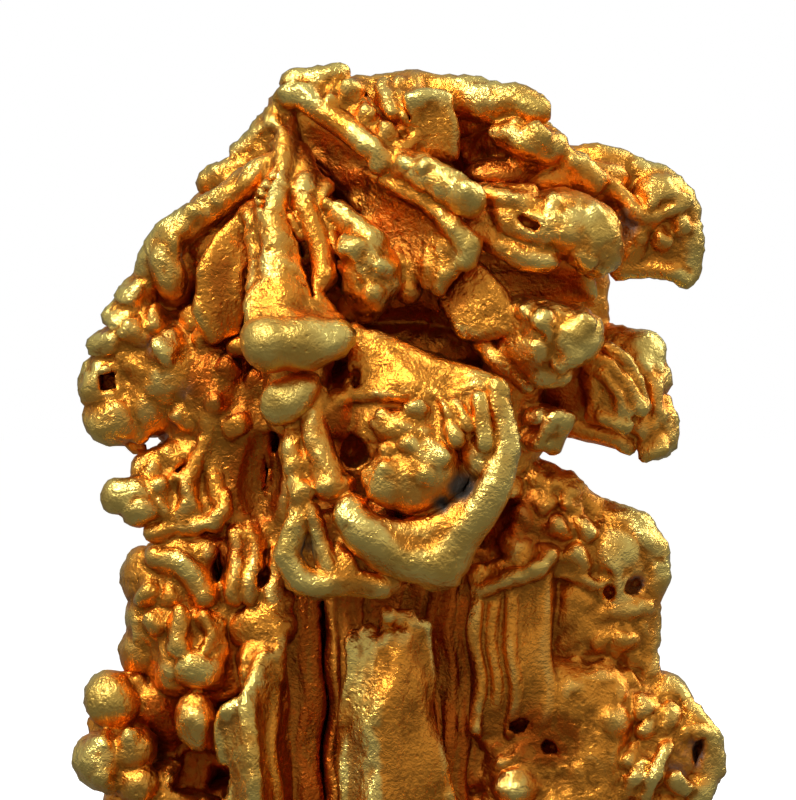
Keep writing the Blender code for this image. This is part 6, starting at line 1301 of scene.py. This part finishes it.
def blurred(grid, reach):
    """A grid averaged over boxes of this half width, three times over."""
    cells = max(1, round(reach / GRID_PITCH))
    for _ in range(3):
        for axis in range(3):
            padded = np.moveaxis(grid, axis, 0)
            wide = np.pad(padded, ((cells + 1, cells), (0, 0), (0, 0)), mode="edge")
            sums = np.cumsum(wide, axis=0, dtype=np.float64)
            grid = np.moveaxis((sums[2 * cells + 1:] - sums[:-2 * cells - 1]) / (2 * cells + 1), 0, axis)
    return grid


def read_grid(start, grid, points):
    """A grid's values at points, straight between its cells."""
    place = np.clip((points - start) / GRID_PITCH, 0.0, np.array(grid.shape) - 1.001)
    cell = place.astype(int)
    share = place - cell
    total = np.zeros(len(points))
    for corner in range(8):
        step = np.array([corner & 1, corner >> 1 & 1, corner >> 2 & 1])
        weight = np.where(step == 1, share, 1.0 - share).prod(axis=1)
        index = cell + step
        total += weight * grid[index[:, 0], index[:, 1], index[:, 2]]
    return total


def put_mask(thing, name, values):
    """Keep one number for each corner under a name that a material can read."""
    layer = thing.data.attributes.new(name, "FLOAT", "POINT")
    layer.data.foreach_set("value", np.clip(values, 0.0, 1.0).astype(np.float32))


def lodged(points, places):
    """How far points lie in places where something lodges, which are twice as deep as they are wide."""
    pockets = [(x, y, z, reach, 2.0 * reach, reach) for x, y, z, reach in places]
    return LODGED_GAIN * reached(points, pockets)


def mask_skin(thing):
    """Work out what the skin's colour follows at each corner, in drawn millimetres."""
    corners = corners_of(thing).astype(np.float64)
    normals = normals_of(thing).astype(np.float64)
    skin = bmesh.new()
    skin.from_mesh(thing.data)
    tree = BVHTree.FromBMesh(skin)
    skin.free()
    start, grid = solid_share(tree, corners.min(axis=0), corners.max(axis=0))
    ahead = corners + AHEAD * normals
    near = read_grid(start, blurred(grid, NEAR_REACH), ahead)
    far = read_grid(start, blurred(grid, FAR_REACH), ahead)
    level = spread(corners, edges_of(thing), LEVEL_PASSES)
    crease = ((level - corners) * normals).sum(axis=1)
    # Hollow and crease measure shelter: the material paints shade from both, and hollow also sets roughness
    # and where clay and quartz lodge.
    put_mask(thing, "hollow", (near - NEAR_START) / SHELTER_RANGE)
    # Deep: far shelter plus the listed places of painted shade; the material turns it brown as painted shade.
    put_mask(thing, "deep", (far - FAR_START) / SHELTER_RANGE + PAINTED_SHADE_SHARE * in_painted_shade(corners))
    put_mask(thing, "crease", 0.5 + crease / CREASE_RANGE)
    put_mask(thing, "worn", worn_smooth(corners))
    # Painted reflection: whether each listed face shows pale or orange.
    put_mask(thing, "painted_tone", 0.5 + 0.5 * plain_and_painted_tone(corners)[1])
    put_mask(thing, "clay", lodged(corners, CLAYEY))
    put_mask(thing, "quartz", lodged(corners, QUARTZY))


# ---------------------------------------------------------------- materials
def new_material(name):
    """An empty material with its shader and output."""
    material = bpy.data.materials.new(name)
    material.use_nodes = True
    nodes = material.node_tree.nodes
    return material, nodes, material.node_tree.links, nodes["Principled BSDF"]


def mask_of(nodes, name):
    """The output that reads one of the skin's masks."""
    node = nodes.new("ShaderNodeAttribute")
    node.attribute_name = name
    return node.outputs["Fac"]


def feed(links, socket, value):
    """Give a socket a link or a plain value."""
    if isinstance(value, bpy.types.NodeSocket):
        links.new(value, socket)
    else:
        socket.default_value = value


def sum_of(nodes, links, operation, first, second, third=None, clamp=False):
    """The result of one arithmetic step."""
    node = nodes.new("ShaderNodeMath")
    node.operation = operation
    node.use_clamp = clamp
    feed(links, node.inputs[0], first)
    feed(links, node.inputs[1], second)
    if third is not None:
        feed(links, node.inputs[2], third)
    return node.outputs[0]


def between(nodes, links, value, low, high):
    """A value spread softly from 0 at low to 1 at high."""
    node = nodes.new("ShaderNodeMapRange")
    node.interpolation_type = "SMOOTHSTEP"
    feed(links, node.inputs["Value"], value)
    node.inputs["From Min"].default_value = low
    node.inputs["From Max"].default_value = high
    return node.outputs["Result"]


def blend_colours(nodes, links, share, first, second):
    """One colour turning into another as share goes from 0 to 1."""
    node = nodes.new("ShaderNodeMix")
    node.data_type = "RGBA"
    feed(links, node.inputs["Factor"], share)
    feed(links, node.inputs["A"], first)
    feed(links, node.inputs["B"], second)
    return node.outputs["Result"]


def weighted(nodes, links, start, masks, weights):
    """A start value with masks added by their weights."""
    total = start
    for name, weight in weights.items():
        total = sum_of(nodes, links, "MULTIPLY_ADD", masks[name], weight, total)
    return total


def product_of(nodes, links, first, second):
    """Two values multiplied."""
    return sum_of(nodes, links, "MULTIPLY", first, second)


def noise_of(nodes, links, place, scale, detail, roughness=0.5, distortion=0.0):
    """The value of a noise texture."""
    node = nodes.new("ShaderNodeTexNoise")
    links.new(place, node.inputs["Vector"])
    feed(links, node.inputs["Scale"], scale)
    node.inputs["Detail"].default_value = detail
    node.inputs["Roughness"].default_value = roughness
    node.inputs["Distortion"].default_value = distortion
    return node.outputs["Fac"]


def empty_group(name, inputs, outputs):
    """A shader node group with named number sockets."""
    group = bpy.data.node_groups.new(name, "ShaderNodeTree")
    for label, value in inputs:
        socket = group.interface.new_socket(label, in_out="INPUT", socket_type="NodeSocketFloat")
        socket.default_value = value
    for label in outputs:
        group.interface.new_socket(label, in_out="OUTPUT", socket_type="NodeSocketFloat")
    nodes = group.nodes
    return group, nodes, group.links, nodes.new("NodeGroupInput"), nodes.new("NodeGroupOutput")


def surface_grain_group():
    """Fine relief of a natural skin: pimples, pits and fine grain, in metres of the object."""
    group, nodes, links, given, result = empty_group(
        "surface grain",
        [("Pimple Scale", 3000.0), ("Grain Scale", 16000.0), ("Pit Share", 0.4)],
        ["Relief", "Patches", "Stains"],
    )
    place = nodes.new("ShaderNodeTexCoord").outputs["Object"]
    pimples = noise_of(nodes, links, place, given.outputs["Pimple Scale"], *PIMPLE_NOISE)
    grain = noise_of(nodes, links, place, given.outputs["Grain Scale"], *GRAIN_NOISE)
    patches = noise_of(nodes, links, place, *PATCH_NOISE)
    cells = nodes.new("ShaderNodeTexVoronoi")
    links.new(place, cells.inputs["Vector"])
    links.new(given.outputs["Pimple Scale"], cells.inputs["Scale"])
    pits = between(nodes, links, cells.outputs["Distance"], 0.3, 0.05)
    pits = product_of(nodes, links, pits, between(nodes, links, patches, 0.5, 0.62))
    relief = sum_of(nodes, links, "MULTIPLY_ADD", grain, 0.35, pimples)
    sunk = product_of(nodes, links, pits, given.outputs["Pit Share"])
    relief = sum_of(nodes, links, "SUBTRACT", relief, sunk)
    links.new(relief, result.inputs["Relief"])
    links.new(patches, result.inputs["Patches"])
    links.new(noise_of(nodes, links, place, *STAIN_NOISE), result.inputs["Stains"])
    return group


def place_group(nodes, group, values):
    """A group node with its own values."""
    node = nodes.new("ShaderNodeGroup")
    node.node_tree = group
    for label, value in values.items():
        node.inputs[label].default_value = value
    return node


def relief_of(nodes, links, height, strength):
    """The normal of a fine relief."""
    node = nodes.new("ShaderNodeBump")
    feed(links, node.inputs["Strength"], strength)
    node.inputs["Distance"].default_value = RELIEF_DEPTH
    links.new(height, node.inputs["Height"])
    return node.outputs["Normal"]


def native_gold(grain_group):
    """Native gold: pale on worn high spots, with painted shade orange in hollows and creases and brown in
    sheltered places, real stains and random patches.
    """
    material, nodes, links, shader = new_material("native_gold")
    masks = {name: mask_of(nodes, name) for name in ("hollow", "deep", "crease", "worn", "painted_tone")}
    grain = place_group(nodes, grain_group, GRAIN_VALUES)
    masks["patches"] = grain.outputs["Patches"]
    masks["stains"] = grain.outputs["Stains"]
    patchy = between(nodes, links, masks["patches"], *PATCH_SPAN)

    colour = blend_colours(nodes, links, patchy, WORN_GOLD, GREEN_GOLD)
    # Orange as painted shade in hollows and creases, as painted reflection on listed faces, and in random
    # patches; less on worn spots.
    uneven = weighted(nodes, links, masks["hollow"], masks, ORANGE_AND_SHADE_WEIGHTS)
    orange_and_shade_share = between(nodes, links, uneven, *ORANGE_AND_SHADE_SPAN)
    colour = blend_colours(nodes, links, orange_and_shade_share, colour, ORANGE_GOLD_AND_SHADE)
    # Painted shade: brown in sheltered places and creases.
    sheltered = weighted(nodes, links, masks["deep"], masks, SHADE_BROWN_WEIGHTS)
    shade_brown_share = between(nodes, links, sheltered, *SHADE_BROWN_SPAN)
    colour = blend_colours(nodes, links, shade_brown_share, colour, SHADE_BROWN_GOLD)
    # Stains from noise, plus painted shade in creases.
    mottled_and_shaded = weighted(nodes, links, masks["stains"], masks, STAIN_AND_SHADE_WEIGHTS)
    stain_and_shade_share = product_of(nodes, links, between(nodes, links, mottled_and_shaded, *STAIN_AND_SHADE_SPAN), STAIN_AND_SHADE_MOST)
    colour = blend_colours(nodes, links, stain_and_shade_share, colour, STAIN_AND_SHADE_GOLD)

    broken = between(nodes, links, grain.outputs["Relief"], *BROKEN_SPAN)
    lodging = between(nodes, links, masks["hollow"], *LODGING_SPAN)
    clay = product_of(nodes, links, product_of(nodes, links, mask_of(nodes, "clay"), broken), lodging)
    quartz = product_of(nodes, links, mask_of(nodes, "quartz"), lodging)
    masks["clay"] = clay
    colour = blend_colours(nodes, links, clay, colour, CLAY)
    colour = blend_colours(nodes, links, quartz, colour, QUARTZ)
    links.new(colour, shader.inputs["Base Color"])

    foreign = sum_of(nodes, links, "MAXIMUM", clay, quartz)
    links.new(sum_of(nodes, links, "SUBTRACT", 1.0, foreign, clamp=True), shader.inputs["Metallic"])
    links.new(weighted(nodes, links, ROUGHNESS, masks, ROUGHNESS_WEIGHTS), shader.inputs["Roughness"])
    strength = weighted(nodes, links, RELIEF_STRENGTH, masks, RELIEF_WEIGHTS)
    links.new(relief_of(nodes, links, grain.outputs["Relief"], strength), shader.inputs["Normal"])
    return material


# ---------------------------------------------------------------- floor, light and camera
def pale_floor():
    """A plain pale floor under the nugget."""
    sheet = bmesh.new()
    bmesh.ops.create_grid(sheet, x_segments=8, y_segments=8, size=FLOOR_HALF_WIDTH)
    mesh = bpy.data.meshes.new("floor")
    sheet.to_mesh(mesh)
    sheet.free()
    floor = bpy.data.objects.new("floor", mesh)
    bpy.context.scene.collection.objects.link(floor)
    material, nodes, links, shader = new_material("pale_floor")
    shader.inputs["Roughness"].default_value = 0.9
    shader.inputs["Specular IOR Level"].default_value = 0.1
    seen = nodes.new("ShaderNodeLightPath").outputs["Is Camera Ray"]
    colour = blend_colours(nodes, links, seen, FLOOR_REFLECTED, FLOOR_SEEN)
    links.new(colour, shader.inputs["Base Color"])
    shader.inputs["Emission Color"].default_value = WHITE
    links.new(product_of(nodes, links, seen, FLOOR_GLOW), shader.inputs["Emission Strength"])
    mesh.materials.append(material)


def studio_world():
    """A soft studio all round: bright overhead, dim at the sides and dark at the front."""
    world = bpy.data.worlds.new("studio")
    bpy.context.scene.world = world
    world.use_nodes = True
    nodes, links = world.node_tree.nodes, world.node_tree.links
    nodes.clear()
    split = nodes.new("ShaderNodeSeparateXYZ")
    links.new(nodes.new("ShaderNodeTexCoord").outputs["Generated"], split.inputs[0])
    overhead = between(nodes, links, split.outputs["Z"], *OVERHEAD_SPAN)
    behind = between(nodes, links, split.outputs["Y"], *BEHIND_SPAN)
    level = blend_colours(nodes, links, behind, FRONT_DARK, BACK_DIM)
    level = blend_colours(nodes, links, overhead, level, OVERHEAD_LIGHT)
    seen = nodes.new("ShaderNodeLightPath").outputs["Is Camera Ray"]
    colour = blend_colours(nodes, links, seen, level, WHITE)
    background = nodes.new("ShaderNodeBackground")
    links.new(colour, background.inputs["Color"])
    output = nodes.new("ShaderNodeOutputWorld")
    links.new(background.outputs[0], output.inputs["Surface"])


def softbox(name, place, width, height, power):
    """A rectangular soft light that faces the nugget, in metres."""
    data = bpy.data.lights.new(name, "AREA")
    data.shape = "RECTANGLE"
    data.size, data.size_y = width, height
    data.energy = power
    light = bpy.data.objects.new(name, data)
    light.location = place
    light.rotation_euler = (Vector(LIT_POINT) - Vector(place)).to_track_quat("-Z", "Y").to_euler()
    bpy.context.scene.collection.objects.link(light)


def studio_camera(aim):
    """A long lens that looks level along +Y at the upper part of the nugget."""
    data = bpy.data.cameras.new("camera")
    data.sensor_width = SENSOR
    data.lens = SENSOR * CAMERA_DISTANCE / FRAME_HEIGHT
    data.clip_start, data.clip_end = 0.01, 20.0
    camera = bpy.data.objects.new("camera", data)
    camera.location = Vector(aim) + Vector((0.0, -CAMERA_DISTANCE, 0.0))
    camera.rotation_euler = (math.radians(90.0), 0.0, 0.0)
    bpy.context.scene.collection.objects.link(camera)
    bpy.context.scene.camera = camera


# ---------------------------------------------------------------- the nugget
def make_nugget():
    """Fuse, pit, crinkle and mask the skin, and set it into the solid's place."""
    skin_voxel = SKIN_VOXEL
    pits = form_object("pits", HOLLOWS)
    fuse(pits, PIT_VOXEL, 0)
    skin = form_object("gold_nugget", solids() + FINE)
    fuse(skin, max(FUSE_VOXEL, skin_voxel), 1)
    keep_largest_body(skin)
    cut_pits(skin, pits)
    bpy.data.objects.remove(pits, do_unlink=True)
    fuse(skin, skin_voxel, 2)
    keep_largest_body(skin)
    texture_skin(skin)
    thin(skin, SKIN_TRIANGLES)
    cut_foot(skin)
    mask_skin(skin)
    place = fit_to_solid(skin)
    skin.data.shade_smooth()
    return skin, place


bpy.context.scene.view_settings.view_transform = "Standard"
nugget_skin, drawn_to_metres = make_nugget()
nugget_skin.data.materials.clear()
nugget_skin.data.materials.append(native_gold(surface_grain_group()))
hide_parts("nugget")
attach(nugget_skin, "root")

pale_floor()
studio_world()
for box in SOFTBOXES:
    softbox(*box)
studio_camera(drawn_to_metres(np.array(FRAME_CENTRE)))
